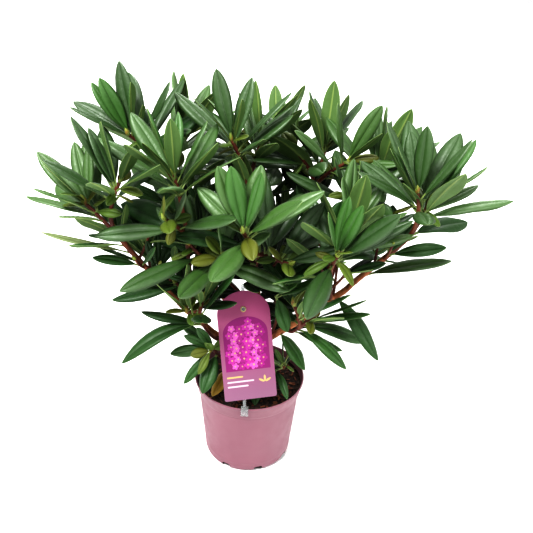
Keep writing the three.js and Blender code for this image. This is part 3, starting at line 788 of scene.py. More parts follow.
middle_lines = look_up([stop for _, stop, _ in bark_stops])
scars = look_up([
    stop + polar(chance.uniform(0, 360), radius, chance.uniform(-4, 4))
    for name, stop, radius in bark_stops if name != "trunk"
])
count = len(wood.data.vertices)
places, normals, ages = np.empty(count * 3), np.empty(count * 3), np.empty((count, 4))
wood.data.vertices.foreach_get("co", places)
wood.data.vertices.foreach_get("normal", normals)
places, normals = places.reshape(-1, 3) / MM, normals.reshape(-1, 3)
for i in range(count):
    place = Vector(places[i])
    radius = bark_stops[middle_lines.find(place)[1]][2]
    ridge = noise.noise(Vector((place.x * 0.55, place.y * 0.55, place.z * 0.09)))
    fine = noise.noise(place * 0.5)
    push = ridge * RIDGES * radius + fine * FINE_BUMPS * radius
    push += SCAR_HIGH * math.exp(-((scars.find(place)[2] / SCAR_WIDE) ** 2))
    places[i] += normals[i] * push
    age = (radius - YOUNG_RADIUS) / (OLD_RADIUS - YOUNG_RADIUS)
    ages[i] = (min(max(age, 0), 1), 0, 0, 1)
wood.data.vertices.foreach_set("co", (places * MM).ravel())
store = wood.data.color_attributes.new("age", "FLOAT_COLOR", "POINT")
store.data.foreach_set("color", ages.ravel())
wood.data.polygons.foreach_set("use_smooth", [True] * len(wood.data.polygons))
wood.data.update()
print("bark relief on", count, "points")


# %% The finish of the bark
def bark_by_age(finish):
    """Red-brown on thin wood and tan on thick wood, with darker flecks."""
    stored = new_node(finish, "VertexColor")
    stored.layer_name = "age"
    age = new_node(finish, "SeparateColor", Color=stored.outputs["Color"]).outputs["Red"]
    thin, thick, fleck = ((*paint(*rgb), 1) for rgb in ((98, 42, 32), (206, 140, 92), (86, 50, 38)))
    flecks = spread(finish, noise_in(finish, 150, 6, (1, 1, 0.3)), 0, 0.85, (0.48, 0.72))
    mixed = blended(finish, flecks, blended(finish, age, thin, thick), fleck)
    feed(finish, shader_of(finish), Base_Color=mixed)


bark = new_finish("bark", paint(150, 92, 60), 0.8)
bark_by_age(bark)
grain(bark, 420, 6, 0.5, (1, 1, 0.35))
sheen_play(bark, 200, 3, 0.6, 0.9)
wood.data.materials.append(bark)

# %% [markdown]
# ## How the shoots and leaves grow
#
# A rhododendron grows in flushes. Each bough ends in one to three shoots, and each shoot
# ends in a whorl of leaves that are spaced by the golden angle, so that no leaf lies right
# over another. The outer leaves lie open and the inner ones stand up. The solid model
# grows its coarse leaves by this rule. The same rule is written here again, with the same
# seed, so every leaf comes out where its solid is.

# %% The sizes of the shoots and leaves
SHOOTS = {  # count, first heading, turn, gap, rise, step, and some: size, how far open
    "right": (2, 40, 180, 20, 70, 22),
    "right_front": (2, 70, 180, 30, 66, -10),
    "right_back": (2, 50, 180, 40, 86, -16),
    "front": (2, -108, 62, 66, 82, -66),
    "front_left": (2, -80, -56, 48, 52, 10),
    "left": (2, 180, 180, 30, 60, 36),
    "left_middle": (2, 61, 180, 23, 106, -50),
    "left_back": (2, 45, 180, 49, 64, 26),
    "top": (2, 61, 180, 40, 74, 26),
    "back": (3, 80, 120, 50, 56, 2),
    "back_right": (3, 200, 120, 45, 74, -6),
    "low_left": (2, -160, 180, 16, 28, 20, 1, 84),
    "low_right": (2, -10, 180, 18, 30, 14, 1, 84),
    "low_back": (2, 150, 180, 30, 50, 14),
    "low_back_right": (2, 30, 180, 30, 50, 10),
    "basal_left": (1, -120, 180, 12, 14, 10, 0.62, 84),
    "basal_right": (1, -30, 180, 8, 12, 10, 0.45, 84),
}
STEM_LENGTH, SHOOT_ROOT, SHOOT_LEAN, SHOOT_UPTURN = 14, 3, 0.3, 1.0
LEAF_LENGTH, LEAF_WIDTH, GOLDEN_ANGLE = 120, 0.25, 137.508
WHORL_OPEN = 66
FOLIAGE_SEED = 160  # the first mass's; each later mass takes the next number


def draws_from(seed):
    """A repeatable stream of numbers, each within the range it is asked for."""
    state = (seed * 2654435761) % 2**32

    def draw(low, high):
        nonlocal state
        state = (state * 1664525 + 1013904223) % 2**32
        return lerp(low, high, state / 2**32)

    return draw


# %% One leaf's place and direction
def off_axis(axis, angle, turn):
    """The direction that many degrees off an axis, turned that many degrees round it."""
    side = axis.cross(Vector((0, 1, 0))).normalized()
    other = axis.cross(side)
    side = side * math.cos(math.radians(turn)) + other * math.sin(math.radians(turn))
    return axis * math.cos(math.radians(angle)) + side * math.sin(math.radians(angle))


def new_leaf(root, heading, face, length, widening, droop, kind):
    return {
        "root": root, "heading": heading, "face": face, "length": length,
        "width": length * LEAF_WIDTH * widening, "droop": droop, "kind": kind,
    }


def leaf_on(axis, root, angle, turn, length, widening, droop, roll, kind):
    """A leaf that stands off an axis and has its face to it, apart from the roll."""
    heading = off_axis(axis, angle, turn)
    face = Matrix.Rotation(math.radians(roll), 3, heading) @ flattened(axis, heading)
    return new_leaf(root, heading, face, length, widening, droop, kind)


def midrib(leaf, t):
    length = leaf["length"]
    return leaf["root"] + leaf["heading"] * (length * t) - UP * (leaf["droop"] * length * t * t)


# %% The leaves of one shoot
def leaves_of(curve, axis, size, opened, draw):
    count = 12 if size == 1 else 6
    phase = draw(0, 360)
    leaves = []
    for i in range(count):
        t = i / (count - 1)
        turn = phase + GOLDEN_ANGLE * i + draw(-9, 9)
        angle = lerp(opened, 16, t) + draw(-8, 8)
        back = min(lerp(30, 3, t) / curve.length(), 0.8)
        length = size * LEAF_LENGTH * lerp(1, 0.76, t * t) * draw(0.86, 1.12)
        widening = draw(0.9, 1.1)
        droop = lerp(0.11, 0.02, t) * draw(0.4, 1.4)
        roll = draw(-14, 14)
        kind = "mature" if t < 0.85 else "fresh"
        leaves.append(leaf_on(axis, curve.at(1 - back), angle, turn, length, widening, droop, roll, kind))
    for i in range(3):
        root = curve.at(draw(0.2, 0.6))
        turn = phase + 60 + GOLDEN_ANGLE * i + draw(-20, 20)
        angle = draw(56, 78)
        length = size * LEAF_LENGTH * draw(0.85, 1.12)
        widening = draw(0.95, 1.2)
        droop = draw(0.08, 0.26)
        roll = draw(-20, 20)
        leaves.append(leaf_on(axis, root, angle, turn, length, widening, droop, roll, "older"))
    return leaves


# %% All the shoots, and which of their leaves the solid model grew
TO_THE_FRONT = -0.5  # a leaf points to the front if its heading reaches this far that way
FORWARD_LEAVES = 4  # one in so many of those stays on a shoot, so that the crown is open to the front
SAME_PLACE = 0.2  # how near its tip a corner of the solids has to be for a leaf to be the solid's
shoots = []
for number, (name, (count, first, turn, gap, rise, step, *unusual)) in enumerate(SHOOTS.items()):
    draw = draws_from(FOLIAGE_SEED + number)
    size, opened = unusual or (1, WHORL_OPEN)
    heading, reach, height = BOUGHS[name][2:5]
    along_bough = limbs[name][0].heading(1)
    tip = polar(heading, reach, height)
    corners = look_up([vertex.co / MM for vertex in solids["foliage_" + name].data.vertices])
    for i in range(count):
        up = rise + step * i
        end = tip + polar(first + turn * i, gap, up) + polar(heading, SHOOT_LEAN * up, 0)
        start = tip + along_bough * (STEM_LENGTH - SHOOT_ROOT)
        curve = Bent(start, tip + along_bough * max(up * 0.5, 20), end)
        axis = (curve.heading(1) + UP * SHOOT_UPTURN).normalized()
        plan = leaves_of(curve, axis, size, opened, draw)
        grown = [leaf for leaf in plan if corners.find(midrib(leaf, 1))[2] < SAME_PLACE]
        forward = [leaf for leaf in grown if leaf["heading"].y < TO_THE_FRONT]
        staying = forward[::FORWARD_LEAVES]
        shoots.append({
            "bough": name, "curve": curve, "axis": axis, "size": size, "number": len(shoots),
            "leaves": [leaf for leaf in grown if leaf not in forward or leaf in staying],
            "skipped": [leaf for leaf in plan if leaf not in grown],
        })
print(len(shoots), "shoots with", sum(len(s["leaves"]) for s in shoots), "leaves as in the solids,")
print(sum(len(s["skipped"]) for s in shoots), "that the coarse solids had no room for")

# %% [markdown]
# ## The shape of a leaf
#
# A rhododendron leaf is leathery: a short stalk, a long blade that is widest past its
# middle, a groove over the midrib with a raised rib under it, side veins that part the
# blade into low swellings, and edges that turn down a little. One flat card would look
# like paper. So each leaf is a closed shell: at 38 stops along the midrib lies a ring of
# points, ten across its face and seven under it. Young leaves and those inside the crown
# make do with 15 stops. The olive underside, the pale midrib and the stalk are faces of
# their own, each with its own plain colour, so they stay sharp.

# %% The rings of a leaf
STALK_STOPS, TIP_STOPS = [0, 0.05, 0.1], [0.985, 1]
STOPS = np.array([*STALK_STOPS, *np.linspace(0.13, 0.96, 33), *TIP_STOPS])  # fine enough for side veins
PLAIN_STOPS = np.array([*STALK_STOPS, *np.linspace(0.13, 0.94, 10), *TIP_STOPS])
OVER = np.array([-1, -0.7, -0.38, -0.11, -0.05, 0.05, 0.11, 0.38, 0.7, 1])
UNDER = np.array([0.97, 0.5, 0.1, 0, -0.1, -0.5, -0.97])
ACROSS = np.concatenate([OVER, UNDER])
RING, PALE, STALK_END = len(ACROSS), (9, 12, 13, 16), 0.12  # pale are both edges and the rib below
RISING, CLOSING = 0.9, 0.72  # how the outline opens from the stalk and closes to the tip
VEINS, VEIN_SLANT, VEIN_RELIEF = 10, 1.1, 0.06  # a side's veins, and the relief as a share of its width


def blade_share(t):
    """How wide a leaf is at t, as a share of its full width: narrow stalk, long oval."""
    s = np.clip((t - 0.1) / 0.9, 1e-6, 1)
    widest = RISING / (RISING + CLOSING)
    full = widest**RISING * (1 - widest) ** CLOSING
    return np.maximum(s**RISING * (1 - s + 1e-4) ** CLOSING / full, 0.09 * (t < 0.5) + 0.03)


def leaf_points(leaf, stops=STOPS, across=ACROSS):
    """The leaf's points, ring by ring. bend, twist, sickle and wave make each one itself."""
    length, half = leaf["length"], leaf["width"] / 2
    root, heading, face, up = (np.array(v) for v in (leaf["root"], leaf["heading"], leaf["face"], UP))
    t = stops[:, None]
    ribs = root + heading * length * t - up * length * (leaf["droop"] * t * t)
    ahead = heading - up * 2 * leaf["droop"] * t
    ahead /= np.linalg.norm(ahead, axis=1)[:, None]
    face = face - ahead * (ahead @ face)[:, None]
    face /= np.linalg.norm(face, axis=1)[:, None]
    side = np.cross(face, ahead)
    angle = leaf["twist"] * t
    side, face = side * np.cos(angle) + face * np.sin(angle), face * np.cos(angle) - side * np.sin(angle)
    ribs = ribs + side * leaf["sickle"] * length * t**2 - face * leaf["bend"] * length * (t**2 - 0.35 * t)
    share = blade_share(stops)[:, None]
    u, over = across[None, :], (np.arange(len(across)) < len(OVER))[None, :]
    stalk = np.clip(1 - t / 0.16, 0, 1)
    groove = np.minimum(0.8 - 0.4 * t, 0.4 * half * share) * (np.abs(u) < 0.06) * over
    cup = leaf["cup"] + 0.3 * (t - 0.45)
    dome = half * share * (0.13 * (1 - (2 * np.abs(u) - 1) ** 2) - cup * u * u)
    ripple = np.sin(math.tau * (leaf["waves"] * t + leaf["phase"] + 0.37 * (u > 0)))
    dome = dome + half * share * leaf["wave"] * np.abs(u) ** 3 * ripple
    between = np.abs(np.sin(math.pi * (VEINS * t - VEIN_SLANT * np.abs(u) + 0.5 * (u > 0))))
    dome = dome + half * share * VEIN_RELIEF * between * np.clip(4 * np.abs(u), 0, 1) * (1.2 - np.abs(u))
    thick = 0.5 + 1.3 * stalk + (1.0 - 0.75 * t) * (np.abs(u) < 0.05)
    lift = dome - groove + 0.25 * stalk - np.where(over, 0, thick)
    points = ribs[:, None, :] + side[:, None, :] * (u * share * half)[:, :, None]
    return points + face[:, None, :] * lift[:, :, None]


# %% The faces of a leaf and their three finishes
def leaf_faces(stops):
    faces, parts = [], []
    for i in range(len(stops) - 1):
        for k in range(RING):
            j = (k + 1) % RING
            faces.append((i * RING + k, (i + 1) * RING + k, (i + 1) * RING + j, i * RING + j))
            pale = k in PALE or stops[i] < STALK_END
            parts.append(2 if pale else 0 if k < len(OVER) - 1 else 1)
    last = (len(stops) - 1) * RING
    faces += [tuple(range(RING)), tuple(reversed(range(last, last + RING)))]
    return faces, np.array(parts + [2, 2])


VEINED, PLAIN = (STOPS, *leaf_faces(STOPS)), (PLAIN_STOPS, *leaf_faces(PLAIN_STOPS))


def leaf_shape(leaf, tones, make):
    """tones are the numbers of the upper, under and rib finishes in the piece."""
    stops, faces, parts = make
    return leaf_points(leaf, stops).reshape(-1, 3).tolist(), faces, np.array(tones)[parts].tolist()


for make in (VEINED, PLAIN):
    print("a leaf has", sum(len(face) - 2 for face in make[1]), "triangles")

# %% [markdown]
# ## Filling the crown
#
# The solids leave out every leaf that would touch another coarse one. Real leaves are thin
# and slip between each other. So the leaves that were left out are tried again with their
# own thin shape, and so are more leaves on each shoot and on short side twigs, all but the
# ones that point to the front. A leaf that would cut through another, the wood, the pot or
# the tag is still left out. The test is Blender's BVH tree, which finds crossing faces
# quickly.

# %% What a new leaf must stay clear of
def tree_of(piece):
    mesh = piece.data
    spots = [vertex.co / MM for vertex in mesh.vertices]
    return BVHTree.FromPolygons(spots, [tuple(face.vertices) for face in mesh.polygons])


obstacles = [tree_of(wood)] + [tree_of(solids[name]) for name in ("pot", "plant_tag", "tag_holder")]
THIN_STOPS, THIN_ACROSS = np.array([0.14, 0.3, 0.5, 0.7, 0.86, 1]), np.array([-1, 0, 1])
THIN_FACES = [(3 * i + k, 3 * i + k + 1, 3 * i + k + 4, 3 * i + k + 3) for i in range(5) for k in range(2)]
to_tag = tag_frame.inverted()
TAG_ASIDE, TAG_BEFORE, TAG_BEHIND, TAG_BELOW, TAG_ABOVE = 3, 190, 5, 18, 4  # kept free round the tag
BEYOND = np.array([16, 16, 4])  # how far a leaf may reach beyond the solids
lowest, highest = np.array(cad_box[0]) / MM - BEYOND, np.array(cad_box[1]) / MM + BEYOND
lives = []  # low corner, high corner and tree of each leaf that has been taken


def thin_tree(leaf):
    spots = leaf_points(leaf, THIN_STOPS, THIN_ACROSS).reshape(-1, 3)
    return spots, BVHTree.FromPolygons(spots.tolist(), THIN_FACES)


def hides_tag(spots):
    for spot in spots:
        x, y, z = to_tag @ Vector(spot)
        level = abs(x) < TAG_WIDE / 2 + TAG_ASIDE and -TAG_BELOW < z < TAG_HIGH + TAG_ABOVE
        if level and -TAG_BEFORE < y < TAG_BEHIND:
            return True
    return False


def crosses(low, high, tree, others):
    for other_low, other_high, other in others:
        if (low < other_high).all() and (high > other_low).all() and tree.overlap(other):
            return True
    return False


def has_room(spots, low, high, tree):
    if low[2] < SOIL_TOP + 2 or (low < lowest).any() or (high > highest).any() or hides_tag(spots):
        return False
    return not any(tree.overlap(other) for other in obstacles)


def take(leaf, others=lives, planned=False):
    """Keeps the leaf if it fits among the others, and says whether it did."""
    spots, tree = thin_tree(leaf)
    low, high = spots.min(0), spots.max(0)
    if crosses(low, high, tree, others) or not (planned or has_room(spots, low, high, tree)):
        return False
    lives.append((low, high, tree))
    return True


# %% Every leaf gets its own bend, twist and wave
habit = random.Random(5)


def grown_up(leaf, strong=1.0):
    leaf["bend"] = habit.uniform(-0.03, 0.09) * strong
    leaf["twist"] = habit.uniform(-0.35, 0.35) * strong
    leaf["sickle"] = habit.uniform(-0.03, 0.03)
    leaf["cup"] = habit.uniform(-0.08, 0.22)
    leaf["wave"], leaf["waves"] = habit.uniform(0, 0.07), habit.uniform(1, 2.4)
    leaf["phase"] = habit.random()
    return leaf


# %% [markdown]
# Some leaves don't follow the rule. On an old shrub a few hang from the bare wood by the
# trunk, lie over the rim or turn yellow on the soil. These are placed one by one: on which
# limb, how far along, the way they point, how steeply they rise, how long and broad they
# are, how much they droop, and of which kind. A small twig beside the tag carries three.

# %% Leaves placed one by one
TAG_TWIG_BEND, TAG_TWIG_END = Vector((46, -14, 270)), Vector((34, -50, 323))
tag_twig = Bent(limbs["right"][0].at(0.08), TAG_TWIG_BEND, TAG_TWIG_END)
ODD_LEAVES = [  # limb, share along, heading, rise, length, breadth, droop, kind
    ("basal_left", 1, -112, -10, 54, 2.1, 0.5, "lower"),
    ("left_middle", 0.2, -22, 28, 76, 1.2, 0.1, "lower"),
    ("tag_twig", 1, -50, -50, 50, 2.0, 0.1, "lower"),
    ("tag_twig", 1, -10, 45, 42, 1.5, 0.1, "fresh"),
    ("tag_twig", 0.95, 5, 30, 74, 1.3, 0.05, "fresh"),
    ("right", 0.15, -50, -5, 62, 1.6, 0.45, "lower"),
    ("basal_right", 0.9, -62, 0, 46, 1.3, 0.5, "lower"),
    ("basal_left", 0.4, -118, 0, 60, 1.4, 0.32, "yellow"),
    ("basal_right", 0.3, -92, 0, 60, 1.3, 0.3, "lower"),
    ("low_left", 1, -160, 10, 124, 1.1, 0.52, "lower"),
    ("left_middle", 0.6, -168, -5, 112, 1.2, 0.08, "lower"),
    ("low_right", 1, -35, 8, 88, 1.2, 0.48, "lower"),
    ("right", 0.55, -48, -8, 94, 1.2, 0.5, "lower"),
    ("right", 0.75, -5, 22, 128, 1.1, 0.08, "crown"),
    ("left", 0.93, 176, 8, 126, 0.42, -0.05, "pale"),
]


def odd_leaf(limb, share, heading, rise, length, breadth, droop, kind):
    curve = tag_twig if limb == "tag_twig" else limbs[limb][0]
    way = polar(heading, math.cos(math.radians(rise)), math.sin(math.radians(rise)))
    leaf = new_leaf(curve.at(share), way, flattened(UP, way), length, breadth, droop, kind)
    return grown_up(leaf, 0.5)


odd_leaves = [odd_leaf(*row) for row in ODD_LEAVES]
print(sum(take(leaf, [], planned=True) for leaf in odd_leaves), "leaves placed one by one")

# %% Leaves by the rule that the solids have
odd_lives = list(lives)
for shoot in shoots:
    shoot["leaves"] = [leaf for leaf in shoot["leaves"] if take(grown_up(leaf, 0.7), odd_lives, planned=True)]
before = sum(len(shoot["leaves"]) for shoot in shoots)
for shoot in shoots:
    side_on = [leaf for leaf in shoot["skipped"] if leaf["heading"].y > TO_THE_FRONT]
    shoot["leaves"] += [leaf for leaf in side_on if take(grown_up(leaf))]
print(before, "leaves as in the solids, and", end=" ")
print(sum(len(shoot["leaves"]) for shoot in shoots) - before, "that find room now")

# %% More leaves on each shoot
def more_leaves(shoot, tries):
    for i in range(tries):
        share = habit.random()
        length = LEAF_LENGTH * shoot["size"] * lerp(1.02, 0.7, share) * habit.uniform(0.8, 1.08)
        root = shoot["curve"].at(1 - min(lerp(34, 3, share) / shoot["curve"].length(), 0.9))
        turn, angle = 65 + GOLDEN_ANGLE * i * 1.5 + habit.uniform(-20, 20), lerp(66, 24, share)
        droop = lerp(0.18, 0.02, share) * habit.uniform(0.5, 1.4)
        widening, roll = habit.uniform(0.9, 1.15), habit.uniform(-18, 18)
        kind = "mature" if share < 0.8 else "fresh"
        leaf = leaf_on(shoot["axis"], root, angle, turn, length, widening, droop, roll, kind)
        if leaf["heading"].y > TO_THE_FRONT and take(grown_up(leaf)):
            shoot["leaves"].append(leaf)


SHOOT_TRIES, TWIG_TRIES = 5, 12
for shoot in shoots:
    more_leaves(shoot, SHOOT_TRIES)
print("leaves on the shoots:", sum(len(shoot["leaves"]) for shoot in shoots))

# %% Side twigs inside the crown
TWIGS_APART, LOWEST_TWIG, LEAST_RISE = 26, 240, 0.35
# leaves on these inner twigs take the inner tones, a near-black green that is painted shade
INNER_REACH = 120  # twigs nearer to the pot's axis carry shaded leaves
twigs = []
for name in BOUGHS:
    if name.startswith("basal"):
        continue
    curve = limbs[name][0]
    count = max(int(curve.length() / TWIGS_APART), 1)
    for i in range(count):
        t = lerp(0.42, 0.97, (i + habit.random()) / count)
        outward = off_axis(curve.heading(t), habit.uniform(35, 70), GOLDEN_ANGLE * i + habit.uniform(0, 60))
        axis = (outward + UP * 0.5).normalized()
        start, long = curve.at(t), habit.uniform(22, 52)
        if start.z < LOWEST_TWIG or outward.z < LEAST_RISE:
            continue
        curve_of_twig = Bent(start, start + outward * long * 0.5, start + axis * long)
        twig = {
            "bough": name, "curve": curve_of_twig, "axis": axis, "size": habit.uniform(0.62, 0.9),
            "number": 100 + len(twigs), "leaves": [],
        }
        more_leaves(twig, TWIG_TRIES)
        for leaf in twig["leaves"]:
            leaf["kind"] = "inner" if math.hypot(start.x, start.y) < INNER_REACH else "older"
        if len(twig["leaves"]) > 1:
            twigs.append(twig)
print(len(twigs), "side twigs with", sum(len(twig["leaves"]) for twig in twigs), "leaves")

# %% [markdown]
# At the heart of each whorl sits next year's bud. Round it and just below the whorl grow a
# few short young leaves that curl outward and show their olive backs.

# %% Young leaves round each bud
SIDE_TRIES = 8  # for young leaves on a shoot, and for old leaves on a bough
leaflets = []
for shoot in shoots:
    for i in range(SIDE_TRIES):
        down = i / (SIDE_TRIES - 1)
        length = habit.uniform(28, 48) * min(shoot["size"] + 0.2, 1)
        root, angle = shoot["curve"].at(lerp(0.985, 0.78, down)), lerp(20, 100, down) + habit.uniform(-6, 20)
        turn = GOLDEN_ANGLE * i + habit.uniform(0, 50) + 40 * shoot["number"]
        widening, droop, roll = habit.uniform(1.6, 2.1), habit.uniform(0, 0.1), habit.uniform(-20, 20)
        leaf = grown_up(leaf_on(shoot["axis"], root, angle, turn, length, widening, droop, roll, "young"))
        leaf["bend"] = habit.uniform(0.15, 0.4)
        leaf["cup"] = habit.uniform(-0.1, 0.4)
        if take(leaf):
            leaflets.append(leaf)
print(len(leaflets), "young leaves round the buds")

# %% [markdown]
# Low inside the crown, where little light comes, a few old leaves still sit on the bare
# lower part of the boughs. They stand round each bough by the golden angle. A second list
# of single leaves fills gaps that are left low at the sides and behind the tag.

# %% Old leaves low inside the crown
old_leaves = []
# these old leaves take the inner tones, a near-black green that is painted shade
for name in ("top", "back", "back_right", "left_back", "front", "front_left"):
    for i in range(SIDE_TRIES):
        share, rise = lerp(0.15, 0.6, i / (SIDE_TRIES - 1)), habit.uniform(0, 40)
        leaf = odd_leaf(name, share, GOLDEN_ANGLE * i, rise, habit.uniform(80, 110), 1.15, 0.1, "inner")
        if take(leaf):
            old_leaves.append(leaf)
LOW_LEAVES = [  # rows as in ODD_LEAVES, but a leaf is kept only where there is room
    ("low_left", 1, 180, 14, 92, 1.1, 0.06, "lower"),
    ("low_left", 0.9, 186, -8, 88, 1.2, 0.16, "lower"),
    ("low_left", 0.8, 160, 4, 84, 1.1, 0.1, "lower"),
    ("low_right", 0.5, -8, -12, 78, 1.1, 0.1, "lower"),
    ("low_right", 0.95, 5, 4, 80, 1.2, 0.08, "lower"),
    ("low_right", 0.7, -24, -20, 80, 1.2, 0.14, "lower"),
    # the inner rows below take the near-black inner tones, which are painted shade
    ("top", 0.42, 190, 10, 80, 1.3, 0.1, "inner"),
    ("top", 0.5, 205, 0, 76, 1.3, 0.2, "inner"),
    ("top", 0.38, -40, 10, 70, 1.3, 0.1, "inner"),
    ("back_right", 0.3, 200, 20, 90, 1.3, 0.1, "inner"),
]
low_leaves = [leaf for leaf in (odd_leaf(*row) for row in LOW_LEAVES) if take(leaf)]
print(len(old_leaves), "old leaves inside the crown,", len(low_leaves), "more low ones")

# %% [markdown]
# ## The colours of the leaves
#
# Leaves of one spray share a tone, and sprays differ: mid green in the light, deep green low
# down, near-black green inside the crown as painted shade, olive on the young ones, yellow or
# pale on the two that fade. Each tone is one plain colour, so a spray keeps it wherever the
# part is shown. The satin skin comes from gloss and a fine relief. Leaves in the light shine
# most, and shaded and young ones least.

# %% Leaf finishes
LEAF_GLOSS = {"crown": 1.9, "inner": 1.45, "lower": 1.6, "young": 1.5}  # refraction index
OTHER_GLOSS = 1.75


def leaf_finish(name, colour, roughness, relief, gloss=OTHER_GLOSS):
    finish = new_finish(name, colour, roughness, IOR=gloss)
    sheen_play(finish, 90, 4, roughness - 0.06, roughness + 0.1)
    grain(finish, 320, 5, relief)
    return finish


under_leaf = leaf_finish("leaf_underside", paint(92, 122, 62), 0.66, 0.3)
young_under = leaf_finish("young_leaf_underside", paint(98, 104, 38), 0.6, 0.3, 1.5)
rib = leaf_finish("midrib_and_stalk", paint(134, 154, 88), 0.5, 0.2)
LEAF_TONES = {
    "crown": [paint(61, 96, 35), paint(52, 86, 30), paint(70, 104, 43), paint(46, 80, 27)],
    # the inner tones are painted shade: a near-black green for leaves inside the crown
    "inner": [paint(21, 42, 13), paint(18, 37, 11), paint(28, 53, 16)],
    "lower": [paint(38, 79, 23), paint(31, 69, 19), paint(46, 87, 28)],
    "fresh": [paint(64, 106, 40), paint(58, 98, 36), paint(74, 112, 46)],
    "young": [paint(90, 106, 36), paint(78, 102, 34), paint(96, 102, 34)],
    "fading": [paint(176, 142, 44), paint(106, 120, 68)],
}
leaf_finishes = {
    kind: [
        leaf_finish(f"{kind}_leaf_{i + 1}", tone, 0.52, 0.4, LEAF_GLOSS.get(kind, OTHER_GLOSS))
        for i, tone in enumerate(tones)
    ]
    for kind, tones in LEAF_TONES.items()
}


# %% Deal the leaves out to pieces
FADING = {"yellow": ("fading", 0), "pale": ("fading", 1)}
MOST_LEAVES = 120  # in one piece
heaps = {kind: [] for kind in LEAF_TONES}
for shoot in shoots + twigs:
    low = shoot["bough"].startswith(("low", "basal"))
    by_kind = {"inner": "inner", "older": "lower", "fresh": "fresh" if shoot["number"] % 3 == 0 else "crown"}
    for leaf in shoot["leaves"]:
        kind = "lower" if low else by_kind.get(leaf["kind"], "crown")
        heaps[kind].append((leaf, shoot["number"]))
for singles in (leaflets, old_leaves + low_leaves, odd_leaves):
    for i, leaf in enumerate(singles):
        kind, tone = FADING.get(leaf["kind"], (leaf["kind"], i))
        heaps[kind].append((leaf, tone))
leaf_pieces = []
for kind, heap in heaps.items():
    tones = leaf_finishes[kind]
    below = young_under if kind == "young" else under_leaf
    make = PLAIN if kind in ("inner", "young") else VEINED
    for start in range(0, len(heap), MOST_LEAVES):
        shapes = [
            leaf_shape(leaf, (number % len(tones), len(tones), len(tones) + 1), make)
            for leaf, number in heap[start:start + MOST_LEAVES]
        ]
        name = f"{kind}_leaves_{start // MOST_LEAVES + 1}"
        leaf_pieces.append(new_piece(name, shapes, [*tones, below, rib]))
    print(kind, len(heap), "leaves")

# %% [markdown]
# ## Shoots and twigs
#
# Young wood is smooth and red-brown and has small scars where old leaves sat. Each shoot
# is a tube that swells a little below its whorl. Noise in its radius gives the scars.

# %% Grow the shoots
def shoot_tube(curve, foot_radius, tip_radius):
    steps = max(int(curve.length() / 2.2), 6)
    stops = [curve.at(i / steps) for i in range(steps + 1)]
    radii = []
    for i, stop in enumerate(stops):
        scar = 1 + 0.12 * noise.noise(stop * 0.45) + 0.12 * max(0, i / steps - 0.75)
        radii.append(lerp(foot_radius, tip_radius, i / steps) * scar)
    radii[-1] *= 0.55
    return tube(stops, radii, 12)


shoot_shapes = []
for name in BOUGHS:
    curve, radius_at = limbs[name]
    along_bough = curve.heading(1)
    tip = curve.at(1)
    stem = Bent(curve.at(0.93), tip, tip + along_bough * STEM_LENGTH)
    shoot_shapes.append(shoot_tube(stem, radius_at(1) * 1.02, 3.3))
for shoot in shoots:
    slim = 1 if shoot["size"] == 1 else 0.75
    shoot_shapes.append(shoot_tube(shoot["curve"], 3.2 * slim, 2.5 * slim))
for twig in twigs:
    shoot_shapes.append(shoot_tube(twig["curve"], 2.2, 1.7))
shoot_shapes.append(shoot_tube(tag_twig, 2.4, 1.8))
red_bark = new_finish("red_brown_shoot", paint(128, 58, 42), 0.5)
mottle(red_bark, noise_in(red_bark, 55, 5), paint(86, 38, 30), paint(126, 74, 48), (0.36, 0.66))
sheen_play(red_bark, 160, 4, 0.4, 0.65)
grain(red_bark, 600, 5, 0.25, (1, 1, 0.4))
young_shoots = new_piece("young_shoots", shoot_shapes, [red_bark])

# %% [markdown]
# ## Buds
#
# A bud is a small egg of overlapping scales. Each scale is a patch that wraps round the
# egg, and its tip stands off a little, so the next one can lie over it.

# %% One bud
def egg(share):
    """The radius of a bud of length 1 at that share of its height."""
    return 0.27 * math.sin(math.pi * min(share * 0.86 + 0.14, 1)) ** 0.75 * (1 - 0.35 * share)


def bud_shapes(base, axis, long, turn):
    side = off_axis(axis, 90, turn)
    other = axis.cross(side)

    def on_egg(angle, share, lift):
        out = (egg(share) + lift) * long
        return base + axis * share * long + (side * math.cos(angle) + other * math.sin(angle)) * out

    core = [on_egg(math.tau * k / 10, i / 7, 0) for i in range(8) for k in range(10)]
    shapes = [(core, bands(8, 10) + [tuple(range(70, 80))], 0)]
    for scale in range(9):
        low, angle = 0.07 * scale, math.radians(GOLDEN_ANGLE * scale)
        points, faces = [], []
        for i in range(5):
            up = i / 4
            half = 0.75 * math.sqrt(max(1 - up**2.2, 0.004))
            for k in range(5):
                across = (k - 2) / 2
                lift = 0.012 + 0.03 * up + 0.012 * (1 - across * across)
                points.append(on_egg(angle + across * half, min(low + 0.36 * up, 0.985), lift))
        faces = [(i * 5 + k, i * 5 + k + 1, i * 5 + k + 6, i * 5 + k + 5) for i in range(4) for k in range(4)]
        shapes.append((points, faces, 1 if scale % 3 == 0 else 0))
    return shapes


